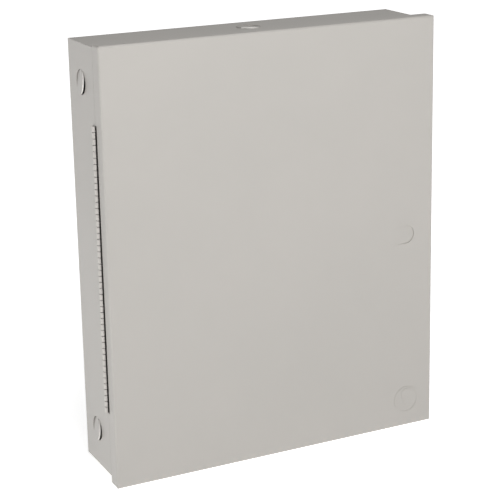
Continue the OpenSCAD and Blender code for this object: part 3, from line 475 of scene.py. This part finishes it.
def piece(name, fill, body, slot, *materials, radius=0.0, stands_for=()):
    """Builds one mesh piece with fill(work)."""
    work = bmesh.new()
    fill(work)
    bmesh.ops.recalc_face_normals(work, faces=work.faces)
    mesh = bpy.data.meshes.new(name)
    work.to_mesh(mesh)
    work.free()
    mesh.set_sharp_from_angle(angle=math.radians(40))
    for material in materials:
        mesh.materials.append(material)
    made = bpy.data.objects.new(name, mesh)
    if radius:
        soften(made, radius)
    settle(made, body, stands_for)


def lead(name, routes, radius, material, stands_for):
    """Round insulated wires through lists of points, in place of the designed tubes."""
    curve = bpy.data.curves.new(name, "CURVE")
    curve.dimensions = "3D"
    curve.bevel_depth = radius * MM
    curve.bevel_resolution = 4
    curve.resolution_u = 10
    curve.use_fill_caps = True
    for route in routes:
        line = curve.splines.new("BEZIER")
        line.bezier_points.add(len(route) - 1)
        for knot, point in zip(line.bezier_points, route):
            knot.co = Vector(point) * MM
            knot.handle_left_type = knot.handle_right_type = "AUTO"
    curve.materials.append(material)
    settle(bpy.data.objects.new(name, curve), "cabinet", [stands_for])


def span(name):
    """A designed node's lowest and highest corners, in mm."""
    low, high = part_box(name)
    return low / MM, high / MM


# ---------------------------------------------------------------- parts on the main board

board_low, board_high = span("main_board")
face_y = board_low.y                # component face of the main board
# Corners (x, z, x, z) of the larger parts: first the ones with a printed frame, then the rest
FRAMED = [(-53, -43, 57, -21), (-73, 33, -7, 55), (-2, 0, 62, 36), (75, -46, 102, -10),
          (115, 105, 141, 131), (105, 71, 147, 99), (-22, 56, -8, 66), (28, 56, 42, 66),
          (117, 8, 131, 31), (116, 136, 144, 164), (-56, 5, -32, 16)]
KEEP_OUT = FRAMED + [(-85, -42, -68, 16), (82, 90, 96, 128), (-72, -60, 124, -43),
                     (148, -34, 165, 31), (-74, 70, -62, 82), (62, 70, 74, 82),
                     (-74, 148, -62, 160), (62, 148, 74, 160)]
COLUMNS, ROWS, SPACING, MARGIN = 46, 42, 5.08, 6    # places for small parts, in mm
SIDE_CLEAR, LOW_CLEAR, TOP_CLEAR, REACH = 9, 5, 9, 2.6    # kept free at the edges and round a part
FILL, UPRIGHT, CAPACITOR = 0.34, 0.5, 0.4           # shares of the small parts
CHIP_LONG, CHIP_WIDE, CHIP_TIP = 1.6, 0.8, 0.84     # half length, half width, tinned end
CHIP_TALL = {False: 0.5, True: 0.9}                 # resistors and capacitors
PRINT = 0.03                                        # thickness of the printed frames


def free(x, z):
    """Whether a small part centred at x, z keeps clear of the larger ones and the board's edge."""
    return (board_low.x + SIDE_CLEAR < x < board_high.x - SIDE_CLEAR
            and board_low.z + LOW_CLEAR < z < board_high.z - TOP_CLEAR
            and not any(a - REACH < x < c + REACH and b - REACH < z < d + REACH
                        for a, b, c, d in KEEP_OUT))


random.seed(41)
small_parts = []
for column in range(COLUMNS):
    for row in range(ROWS):
        x, z = board_low.x + SPACING * column + MARGIN, board_low.z + SPACING * row + MARGIN
        if random.random() < FILL and free(x, z):
            small_parts.append((x, z, random.random() < UPRIGHT, random.random() < CAPACITOR))


def surface_parts(work):
    """Chip resistors and capacitors: a ceramic body between two tinned ends, on solder fillets."""
    body, tip, fillet, solder = CHIP_LONG - CHIP_TIP, CHIP_TIP / 2, 0.12, 0.04
    for x, z, upright, capacitor in small_parts:
        tall = CHIP_TALL[capacitor]
        blocks = [(0, body, tall, int(capacitor))]
        blocks += [(way * (body + tip), tip + fillet, tall + solder, 2) for way in (-1, 1)]
        for along, half, height, finish in blocks:
            dx, dz = (0, along) if upright else (along, 0)
            a, b = (CHIP_WIDE, half) if upright else (half, CHIP_WIDE)
            slab(work, (x + dx - a, face_y - height, z + dz - b),
                 (x + dx + a, face_y, z + dz + b), finish)


ceramic = moulded("fired_ceramic_tan", "#a58c66", "#b9a17d", 0.5, 0.6)
piece("surface_mount_parts", surface_parts, "cabinet", "black_plastic", black_epoxy, ceramic, tin)


def printed_legend(work):
    """White screen-printed frames round the larger parts, without any lettering."""
    for x0, z0, x1, z1 in FRAMED:
        outline(work, (x0, z0), (x1, z1), face_y, 0.35, PRINT)
    inset = 1.2
    outline(work, (board_low.x + inset, board_low.z + inset),
            (board_high.x - inset, board_high.z - inset), face_y, 0.3, PRINT)


piece("board_legend", printed_legend, "cabinet", "label_film", white_ink)

CANS = [(-62, 44), (-40, 44), (-18, 44)]
SMALL_CANS = [(76, 44), (88, 44), (70, 6), (82, 6), (108, 52), (-62, 22), (-22, 22)]
can_top = span("capacitors")[0].y


def can_sleeves(work):
    """Shrunk sleeves: they roll over the can's rim and leave its top bare."""
    tall = face_y - can_top
    large = [(8.2, 0.2), (8.9, 0.8), (9.0, 2.0), (8.75, 2.6), (9.0, 3.2), (9.0, tall - 1.0),
             (8.8, tall - 0.3), (8.3, tall), (7.6, tall - 0.1), (7.5, tall - 0.6), (0, tall - 0.6)]
    small = [(2.9, 0.1), (3.1, 0.6), (3.0, 1.4), (3.15, 2.0), (3.15, 9.6), (3.0, 10.0), (2.6, 9.9),
             (2.6, 9.6), (0, 9.6)]
    for cans, profile, around in ((CANS, large, 48), (SMALL_CANS, small, 32)):
        for x, z in cans:
            turned(work, (x, face_y, z), (0, -1, 0), profile, around)


def can_tops(work):
    """Bare can tops, scored with a cross that lets gas out; the score is drawn as thin black
    strips, painted shade for its grooves.
    """
    tops = [(can, 7.4, can_top + 0.35) for can in CANS]
    tops += [(can, 2.5, face_y - 9.85) for can in SMALL_CANS]
    for (x, z), radius, top in tops:
        turned(work, (x, top + 0.2, z), (0, -1, 0), [(radius, 0), (radius, 0.2),
               (radius * 0.9, 0.3), (0, 0.3)], 40)
        # Painted shade: the score's grooves are black strips laid on the top
        score = radius * 0.62
        for a, b in (((-score, -0.18), (score, 0.18)), ((-0.18, -score), (0.18, score))):
            slab(work, (x + a[0], top - 0.16, z + a[1]), (x + b[0], top - 0.06, z + b[1]), 1)


def can_stripes(work):
    """The pale stripe down one side of each sleeve, a thin curved strip."""
    low_end, high_end, inner, outer = face_y - 3.6, can_top + 1.4, 8.9, 9.06
    section = ((outer, low_end), (outer, high_end), (inner, high_end), (inner, low_end))
    for x, z in CANS:
        rows = []
        for degrees in range(176, 225, 12):
            way = Vector((math.cos(math.radians(degrees)), 0, math.sin(math.radians(degrees))))
            rows.append([work.verts.new((Vector((x, y, z)) + radius * way) * MM)
                         for radius, y in section])
        bridge(work, rows)
        work.faces.new(rows[0])
        work.faces.new(rows[-1])


piece("capacitor_cans", can_sleeves, "cabinet", "capacitor_sleeve", sleeve_pvc,
      stands_for=["capacitors"])
piece("capacitor_tops", can_tops, "cabinet", "raw_aluminium", aluminium, black_epoxy)
piece("capacitor_stripes", can_stripes, "cabinet", "capacitor_sleeve", white_ink)
RESISTORS = [(20, 60), (20, 66), (20, 72), (52, 60), (52, 66), (-60, 62), (-44, 62), (136, 52),
             (136, 58)]
RESISTOR_LONG, RESISTOR_LIFT, LEAD = 6.4, 1.9, 0.3  # body, its axis over the board, lead radius


def wound_resistors(work):
    """Axial resistors: a dumbbell of lacquer with colour bands, on bent tinned leads."""
    for x, z in RESISTORS:
        axis_y = face_y - RESISTOR_LIFT
        at = (x - RESISTOR_LONG / 2, axis_y, z)
        turned(work, at, (1, 0, 0), [(0, 0), (0.8, 0.1), (1.2, 0.5), (1.25, 1.2), (1.0, 1.8),
               (1.0, 4.6), (1.25, 5.2), (1.2, 5.9), (0.8, 6.3), (0, RESISTOR_LONG)], 20)
        for i, (place, radius) in enumerate(((1.1, 1.29), (2.4, 1.04), (3.2, 1.04), (5.3, 1.29))):
            turned(work, at, (1, 0, 0), [(radius, place - 0.22), (radius, place + 0.22)], 20,
                   1 + i % 2)
        for way in (-1, 1):
            for start_at, aim, long in (((x + way * 3.1, axis_y, z), (way, 0, 0), 1.9),
                                        ((x + way * 4.9, axis_y - 0.25, z), (0, 1, 0), 2.1)):
                turned(work, start_at, aim, [(LEAD, 0), (LEAD, long)], 10, 3)


lacquer = moulded("resistor_lacquer", "#c9b487", "#d8c59c", 0.3, 0.4)
band_dark = moulded("band_paint_brown", "#5b3118", "#6e4630", 0.3, 0.4)
band_red = moulded("band_paint_red", "#a33124", "#b24b40", 0.3, 0.4)
piece("axial_resistors", wound_resistors, "cabinet", "natural_nylon", lacquer, band_dark, band_red,
      tin)


PROCESSOR = (118, 108), (138, 128)
TWIN_ROWS = (-20, 30)               # X where the two small packages begin
RELAYS = [-50 + 28 * i for i in range(4)]           # X where each relay begins


def chip_feet(work):
    """Gull-wing feet round the processor and along the two small packages."""
    low, high = PROCESSOR
    out, under, wide = 1.3, 0.1, 0.35
    for i in range(22):
        s = 1.6 + i * 0.8
        for a, b in (((low[0] + s, low[1] - out), (low[0] + s + wide, low[1] + under)),
                     ((low[0] + s, high[1] - under), (low[0] + s + wide, high[1] + out)),
                     ((low[0] - out, low[1] + s), (low[0] + under, low[1] + s + wide)),
                     ((high[0] - under, low[1] + s), (high[0] + out, low[1] + s + wide))):
            slab(work, (a[0], face_y - 0.3, a[1]), (b[0], face_y, b[1]))
    for left in TWIN_ROWS:
        for i in range(7):
            x = left + 0.9 + i * 1.27
            for z in (57.0, 63.9):
                slab(work, (x, face_y - 0.5, z), (x + 0.5, face_y, z + 1.1))


piece("chip_feet", chip_feet, "cabinet", "tinned_clip", tin)


def chip_marks(work):
    """The round dimple that marks the first pin, and a blank rating panel on each relay."""
    for x, z, tall in ((120.5, 125.5, 2.4), (110.5, 77.5, 4.5), (110.5, 93.5, 4.5),
                       (TWIN_ROWS[0] + 1.4, 59.6, 2.0), (TWIN_ROWS[1] + 1.4, 59.6, 2.0)):
        turned(work, (x, face_y - tall, z), (0, -1, 0), [(0.9, 0.0), (0.9, 0.03), (0.6, 0.04),
               (0, 0.04)], 24)
    for x in RELAYS:
        outline(work, (x + 2.5, -37.2), (x + 17.5, -26.8), face_y - 15, 0.3, 0.04, 1)


piece("part_marks", chip_marks, "cabinet", "black_plastic", frame_abs, white_ink)

# Fuses: drawn glass tubes between plated caps, with the wire inside
clip_low, clip_high = span("fuses")
FUSE_Z = (-40, -28, -16)
fuse_y = (clip_low.y + clip_high.y) / 2


GLASS_X, GLASS_LONG = clip_low.x + 4.6, 10.8


def fuse_tubes(work):
    """The glass between the caps."""
    for z in FUSE_Z:
        turned(work, (GLASS_X, fuse_y, z), (1, 0, 0), [(2.3, 0), (2.3, GLASS_LONG)], 32)


def fuse_caps(work):
    """Two plated caps, and the wire that runs a little askew between them."""
    for z in FUSE_Z:
        for x, way in ((clip_low.x, 1), (clip_high.x, -1)):
            turned(work, (x, fuse_y, z), (way, 0, 0), [(0, 0), (2.2, 0.05), (2.5, 0.3), (2.58, 0.8),
                   (2.58, 4.6), (2.45, 5.0)], 32)
        turned(work, (GLASS_X, fuse_y, z), (1, 0.02, 0.02), [(0.14, 0), (0.14, GLASS_LONG)], 8)


piece("fuse_tubes", fuse_tubes, "cabinet", "fuse_glass", fuse_glass, stands_for=["fuses"])
piece("fuse_caps", fuse_caps, "cabinet", "tinned_clip", tin)

# ---------------------------------------------------------------- display

plate_y = span("display_frame")[0].y                # front of the display frame
lamp_back = span("display_board")[0].y              # the board that the lamps stand on
glass_low, glass_high = span("lcd_glass")
LAMP_X = [16 * (i - 3.5) for i in range(8)]
LAMP_Z = 104
BUTTONS = {"acknowledge": -54, "silence": -18, "drill": 18, "reset": 54}
BUTTON_Z = 84
WINDOW = (-51.5, 113.5), (51.5, 152.5)
BUTTON_ROW = (-68, 74.6), (68, 93.4)


def character_cells(work):
    """The blank character cells of the liquid-crystal display, a shade darker than its ground."""
    columns, rows, side, foot = 20, 4, 4, 2
    step_x = (glass_high.x - glass_low.x - 2 * side) / columns
    step_z = (glass_high.z - glass_low.z - 2 * foot) / rows
    for i in range(columns):
        for j in range(rows):
            x, z = glass_low.x + side + i * step_x, glass_low.z + foot + j * step_z
            slab(work, (x + 0.4, glass_low.y - 0.03, z + 0.5),
                 (x + step_x - 0.4, glass_low.y, z + step_z - 0.7))


def window_bezel(work):
    """A raised lip round the display window and a shallow one round the four buttons."""
    outline(work, *WINDOW, plate_y, 1.6, 0.5)
    outline(work, *BUTTON_ROW, plate_y, 0.9, 0.35)


def printed_bars(work):
    """Plain printed bars beside the lamps and buttons, where a legend would be."""
    bars = [(x - 5, x + 5, LAMP_Z - 5.4, LAMP_Z - 4.4, 0) for x in LAMP_X]
    bars += [(x - 3, x + 3, LAMP_Z - 7.2, LAMP_Z - 6.5, 0) for x in LAMP_X]
    bars += [(x - 7, x + 7, 71.4, 72.5, 0) for x in BUTTONS.values()] + [(-68, -30, 156, 158.4, 1)]
    for x0, x1, z0, z1, finish in bars:
        slab(work, (x0, plate_y - 0.05, z0), (x1, plate_y, z1), finish)


dark_cell = clear("lcd_segment_glass", "#7f9048", 0.08, 0.14, 1.5, 0.0)
piece("lcd_cells", character_cells, "cabinet", "lcd_glass", dark_cell)
piece("display_bezel", window_bezel, "cabinet", "frame_abs", frame_abs, radius=0.2)
piece("display_legend", printed_bars, "cabinet", "label_film", white_ink, blue_ink)


def lamp(work, x):
    """A 5 mm lamp: a flange, a straight barrel and a domed tip."""
    radius, barrel = 2.5, lamp_back - plate_y
    dome = [(radius * math.cos(math.radians(a)), barrel + radius * math.sin(math.radians(a)))
            for a in range(0, 90, 10)]
    turned(work, (x, lamp_back, LAMP_Z), (0, -1, 0),
           [(2.9, 0), (2.9, 0.8), (2.75, 1.0), (radius, 1.0)] + dome + [(0, barrel + radius)], 32)


for name, lamps, slot, lens, designed in (
        ("alarm_lamps", LAMP_X[:3], "red_lens", lens_red, "alarm_leds"),
        ("trouble_lamps", LAMP_X[3:7], "amber_lens", lens_amber, "trouble_leds"),
        ("power_lamp", LAMP_X[7:], "green_lens", lens_green, "power_led")):
    piece(name, lambda work: [lamp(work, x) for x in lamps], "cabinet", slot, lens,
          stands_for=[designed])

cap_low, cap_high = span("button_acknowledge")
CAP_TALL = cap_high.y - cap_low.y
FLANGE_Y = -48.2                    # back of the flange that keeps a cap behind its frame


def button_cap(work, x):
    """A moulded cap with a dished top and a rolled rim, on its flange and stem."""
    flange = cap_high.y - FLANGE_Y
    stem = [(0, 0), (2.4, 0), (2.5, 0.2), (2.5, flange)]
    collar = [(7.4, flange), (7.5, flange + 0.2), (7.5, flange + 1.4), (7.3, flange + 1.5),
              (6.0, flange + 1.5)]
    top = [(5.95, 1.0), (5.8, 0.4), (5.4, 0.08), (5.0, 0), (4.6, 0.1), (3.0, 0.5), (1.5, 0.65),
           (0, 0.7)]
    turned(work, (x, cap_high.y, BUTTON_Z), (0, -1, 0),
           stem + collar + [(radius, CAP_TALL - down) for radius, down in top], 48)


for name, x in BUTTONS.items():
    red = name == "reset"
    piece("cap_" + name, lambda work: button_cap(work, x), name,
          "button_red" if red else "button_grey", cap_red if red else cap_grey,
          stands_for=["button_" + name])

# ---------------------------------------------------------------- power supply and wiring

coil_low, coil_high = span("transformer_coil")
core_low, core_high = span("transformer_core")
plug_low = span("plug_sockets")[0]
boots_low, boots_high = span("tab_boots")
TAB_Y = (boots_low.y + boots_high.y) / 2
TAB_X = (-137, -17, 17, 137)
WIRE = 1.3                          # radius of the insulated wires
MAINS_X = (-151.5, -137.5, -123.5)  # live, neutral and earth screws of the mains block
seat_y = span("mains_block")[1].y - 8 - WIRE - 0.1  # the wires lie under the screws' heads
SEAT_Z = 103.9                      # where they end
STUD_X, STUD_Z = -137, 76           # the earth stud
RING_Y = -2.6                       # the wire's height over the back sheet at its ring
coil_front = coil_low.y + 7

primary = [[(x, coil_front, 24.4), (x, coil_front, 32.4), (x, coil_front, 40.4), (x, -26, 66),
            (x, -13, 86), (x, seat_y, 95), (x, seat_y, SEAT_Z)] for x in MAINS_X[:2]]
secondary = [[(-115.2, coil_low.y + 5, z), (-110.2, coil_low.y + 5, z), (-105.2, coil_low.y + 6, z),
              (-98, -40, z), (-94, -29, z), (-89.1, -21.6, z), (-86.1, -21, z), (-83.1, -21, z)]
             for z in (4, 9)]
ground = [(MAINS_X[2], seat_y, SEAT_Z), (MAINS_X[2], seat_y, SEAT_Z - 6), (MAINS_X[2], -9, 90),
          (-124, -6, 83), (-126.5, -3.6, 77.5), (-129.1, RING_Y, STUD_Z), (-132.1, RING_Y, STUD_Z)]


def start(x):
    """The straight start of a battery lead, up out of its boot."""
    return [(x, TAB_Y, boots_high.z + rise) for rise in (0, 5, 10)]


def end(x):
    """The straight end of a battery lead, up into the battery plug."""
    return [(x, -21, plug_low.z - drop) for drop in (12, 6, 0.1)]


red_lead = start(TAB_X[0]) + [(-134, TAB_Y + 3, -92), (-128, TAB_Y + 8, -84), (-108, -36, -72),
                              (-86, -26, -60)] + end(-80)
black_lead = start(TAB_X[3]) + [(134, TAB_Y + 3, -92), (126, TAB_Y + 8, -84), (104, -38, -78),
                                (0, -34, -74), (-56, -28, -70), (-70, -23, -61)] + end(-74.5)
jumper = start(TAB_X[1]) + [(-12, TAB_Y, -94), (12, TAB_Y, -94)] + start(TAB_X[2])[::-1]

lead("mains_wires", primary, WIRE, black_pvc, "primary_wires")
lead("low_voltage_wires", secondary, WIRE, yellow_pvc, "secondary_wires")
lead("battery_wire_red", [red_lead], WIRE, red_pvc, "battery_lead_red")
lead("battery_wire_black", [black_lead], WIRE, black_pvc, "battery_lead_black")
lead("battery_link", [jumper], WIRE, black_pvc, "battery_jumper")
lead("earth_wire", [ground], WIRE, green_pvc, "ground_wire")


def ring_terminal(work):
    """A crimped ring terminal on the earth stud: a flat ring and a barrel round the wire's end."""
    around, hole, rim, back, front = 40, 2.2, 4.8, -1.25, -2.2
    rings = []
    for radius, y in ((hole, back), (rim, back), (rim, front), (hole, front)):
        turn = [2 * math.pi * i / around for i in range(around)]
        rings.append([work.verts.new(Vector((STUD_X + radius * math.cos(a), y,
                                             STUD_Z + radius * math.sin(a))) * MM) for a in turn])
    bridge(work, rings + rings[:1])
    turned(work, (STUD_X + 4.7, RING_Y, STUD_Z), (1, 0, 0), [(1.35, 0), (1.5, 0.2), (1.5, 1.2),
           (1.42, 1.6), (1.42, 2.4), (1.5, 2.8), (1.5, 4.0), (1.35, 4.2)], 24)


piece("earth_ring", ring_terminal, "cabinet", "tinned_clip", tin)


def ferrules(work):
    """Tinned ferrules where the wires meet the mains screws."""
    for x in MAINS_X:
        turned(work, (x, seat_y, SEAT_Z - 4.2), (0, 0, 1), [(1.32, 0), (1.45, 0.2), (1.45, 3.8),
               (1.3, 4.1)], 24)


piece("wire_ferrules", ferrules, "cabinet", "tinned_clip", tin)


TIES = (-40, -30.6, -71.6), (60, -36.4, -76.2)


def cable_ties(work):
    """Nylon ties round the black battery lead, each a band with its square head."""
    for x, y, z in TIES:
        turned(work, (x - 1.2, y, z), (1, 0, 0), [(1.35, 0), (1.9, 0), (1.9, 2.4), (1.35, 2.4)], 28)
        slab(work, (x - 1.7, y - 3.4, z - 1.6), (x + 1.7, y - 1.5, z + 1.6))


piece("cable_ties", cable_ties, "cabinet", "natural_nylon", natural_nylon, radius=0.2)


def coil_details(work):
    """The coil's outer wrap: a lapped edge, and the moulded flanges of its bobbin."""
    x0, x1 = coil_low.x, coil_high.x
    front = coil_low.y
    slab(work, (x0 + 8, front - 0.12, coil_low.z + 1.2),
         (x0 + 20, front + 0.1, coil_high.z - 1.2), 1)
    for z in (coil_low.z, coil_high.z - 1.0):
        slab(work, (x0 + 1, front - 0.9, z), (x1 - 1, core_low.y - 0.4, z + 1.0), 0)


piece("bobbin", coil_details, "cabinet", "natural_nylon", natural_nylon, tape, radius=0.25)


def core_rivets(work):
    """The rivets at the corners of the lamination stack."""
    for x in (core_low.x + 4, core_high.x - 4):
        for z in (core_low.z + 4, core_high.z - 4):
            turned(work, (x, core_low.y, z), (0, -1, 0), [(3.0, 0), (2.9, 0.6), (2.3, 1.1),
                   (1.2, 1.4), (0, 1.5)], 28)


piece("core_rivets", core_rivets, "cabinet", "zinc_plate", zinc)

# ---------------------------------------------------------------- batteries

BATTERIES = span("battery_left"), span("battery_right")


def battery_lids(work):
    """The welded lid plate of each battery, with its six valves."""
    for low, high in BATTERIES:
        slab(work, (low.x + 26, low.y + 8, high.z), (high.x - 26, high.y - 8, high.z + 0.8))
        for i in range(6):
            x = low.x + 36 + i * (high.x - low.x - 72) / 5
            turned(work, (x, (low.y + high.y) / 2, high.z + 0.7), (0, 0, 1), [(5.0, 0), (5.0, 0.5),
                   (4.6, 0.8), (0, 0.8)], 28)


def battery_labels(work):
    """A blank rating label on each battery: a pale field with a coloured head and ruled lines."""
    for low, high in BATTERIES:
        film, ink = low.y - 0.12, low.y - 0.17
        slab(work, (low.x + 20, film, low.z + 18), (high.x - 20, low.y + 0.02, high.z - 16), 0)
        slab(work, (low.x + 20.5, ink, high.z - 32), (high.x - 20.5, film, high.z - 16.5), 1)
        for i, long in enumerate((80, 62, 92, 70, 54)):
            z = high.z - 40 - i * 5.5
            slab(work, (low.x + 27, ink, z), (low.x + 27 + long, film, z + 1.2), 2)


piece("battery_lid_plates", battery_lids, "cabinet", "battery_abs", battery_abs, radius=0.25)
piece("battery_label_films", battery_labels, "cabinet", "label_film", label_film, blue_ink,
      grey_ink)


def boot_ribs(work):
    """Strain-relief sleeves that taper from each boot on to its wire."""
    for x in TAB_X:
        turned(work, (x, TAB_Y, boots_high.z - 0.3), (0, 0, 1), [(2.6, 0), (2.5, 0.8), (2.1, 1.0),
               (2.2, 1.6), (1.8, 1.8), (1.9, 2.5), (1.6, 2.7), (1.65, 3.4), (1.4, 3.6)], 24)


piece("boot_sleeves", boot_ribs, "cabinet", "red_pvc", red_pvc)

# ---------------------------------------------------------------- inside of the door

door_low, door_high = span("door")
sheet_low, sheet_high = span("door_label")


def door_chart(work):
    """A wiring chart with no lettering: a ruled frame, boxes for terminals and routed lines."""
    ink = 0.05
    back, y = sheet_high.y, sheet_high.y + ink
    x0, x1, z0, z1 = sheet_low.x + 6, sheet_high.x - 6, sheet_low.z + 6, sheet_high.z - 6
    outline(work, (x0, z0), (x1, z1), y, 0.6, ink)
    slab(work, (x0 + 2, back, z1 - 12), (x1 - 2, y, z1 - 3), 1)
    for i in range(10):
        x = x0 + 8 + i * (x1 - x0 - 28) / 9
        bend = z0 + 30 + 5 * (i % 4)
        outline(work, (x, z0 + 8), (x + 11, z0 + 20), y, 0.4, ink)
        slab(work, (x + 5.3, back, z0 + 20), (x + 5.7, y, bend), 0)
        slab(work, (x + 5.3, back, bend), (min(x + 22, x1 - 4), y, bend + 0.4), 0)
    for left, lines in ((6, (70, 58, 64, 74, 50, 66, 60, 72, 44)),
                        (92, (56, 66, 48, 62, 70, 52, 60, 46, 64))):
        for i, long in enumerate(lines):
            z = z1 - 20 - i * 5.5
            slab(work, (x0 + left, back, z), (x0 + left + long, y, z + 1.1), 0)


piece("door_chart", door_chart, "door", "label_film", grey_ink, blue_ink)

# ---------------------------------------------------------------- camera, light, floor

CENTRE = Vector(((door_low.x + door_high.x) / 2, door_low.y / 2,
                 (door_low.z + door_high.z) / 2)) * MM


def make_camera(yaw, pitch, roll, right, forward, up, lens, shift_x, shift_y):
    """A camera from the front left and above: the cabinet's centre stands at (right, forward, up)
    from it, in metres, along its own axes."""
    turn = (Matrix.Rotation(math.radians(roll), 3, "Y")
            @ Matrix.Rotation(math.radians(pitch), 3, "X")
            @ Matrix.Rotation(math.radians(yaw), 3, "Z"))
    camera = bpy.data.objects.new("camera", bpy.data.cameras.new("camera"))
    bpy.context.scene.collection.objects.link(camera)
    spot = CENTRE - turn.transposed() @ Vector((right, forward, up))
    facing = Matrix((turn[0], turn[2], -turn[1])).transposed().to_4x4()
    camera.matrix_world = Matrix.Translation(spot) @ facing
    camera.data.lens = lens
    camera.data.shift_x = shift_x
    camera.data.shift_y = shift_y
    camera.data.clip_end = 60
    bpy.context.scene.camera = camera


make_camera(26.24, 15.07, -1.01, -0.0046, 1.6403, -0.0413, 111.4, -0.028, -0.100)


def softbox(name, place, size, power, colour="#ffffff", aim=CENTRE):
    """A rectangular diffused studio light that faces its aim."""
    light = bpy.data.lights.new(name, "AREA")
    light.shape = "RECTANGLE"
    light.size, light.size_y = size
    light.energy = power
    light.color = linear(colour)[:3]
    holder = bpy.data.objects.new(name, light)
    bpy.context.scene.collection.objects.link(holder)
    holder.location = place
    holder.rotation_euler = (Vector(aim) - Vector(place)).to_track_quat("-Z", "Y").to_euler()


softbox("key_light", (-0.24, -1.1, 1.22), (0.7, 0.5), 12.6)
softbox("side_light", (-0.62, -0.15, -0.17), (0.4, 0.08), 0.3)
softbox("top_strip", (0.15, -0.38, 1.13), (0.8, 0.08), 2.4)

# A dim room that is brighter low down
world = bpy.data.worlds.new("studio")
bpy.context.scene.world = world
world.use_nodes = True
sky = world.node_tree
sky_place = add(sky, "ShaderNodeTexCoord").outputs["Generated"]
height = add(sky, "ShaderNodeSeparateXYZ", links={"Vector": sky_place}).outputs["Z"]
glow = add(sky, "ShaderNodeValToRGB", links={"Fac": height},
           stops=[(0, 1.0), (0.12, 0.35), (1, 0.08)])
sky.links.new(glow.outputs["Color"], sky.nodes["Background"].inputs["Color"])
sky.nodes["Background"].inputs["Strength"].default_value = 1.0

bpy.context.scene.view_settings.view_transform = "Standard"

FLOOR_HALF = 12                     # metres
floor_z = cad_low.z - 0.1 * MM
floor_mesh = bpy.data.meshes.new("floor")
floor_mesh.from_pydata([(x * FLOOR_HALF, y * FLOOR_HALF, floor_z)
                        for x, y in ((-1, -1), (1, -1), (1, 1), (-1, 1))], [], [(0, 1, 2, 3)])
floor = bpy.data.objects.new("floor", floor_mesh)
bpy.context.scene.collection.objects.link(floor)
paper, tree, shader, place = new_material("seamless_white_paper", Base_Color=linear("#f2f2f2"),
                                          Roughness=0.9, Emission_Color=linear("#ffffff"))
# The paper is lit through from below, more so away from the key light
away = add(tree, "ShaderNodeVectorMath", links={0: place}, operation="LENGTH")
lit = add(tree, "ShaderNodeMapRange",
          {"From Min": 0.25, "From Max": 1.0, "To Min": 0.72, "To Max": 0.98},
          {"Value": away.outputs["Value"]})
tree.links.new(lit.outputs["Result"], shader.inputs["Emission Strength"])
floor_mesh.materials.append(paper)
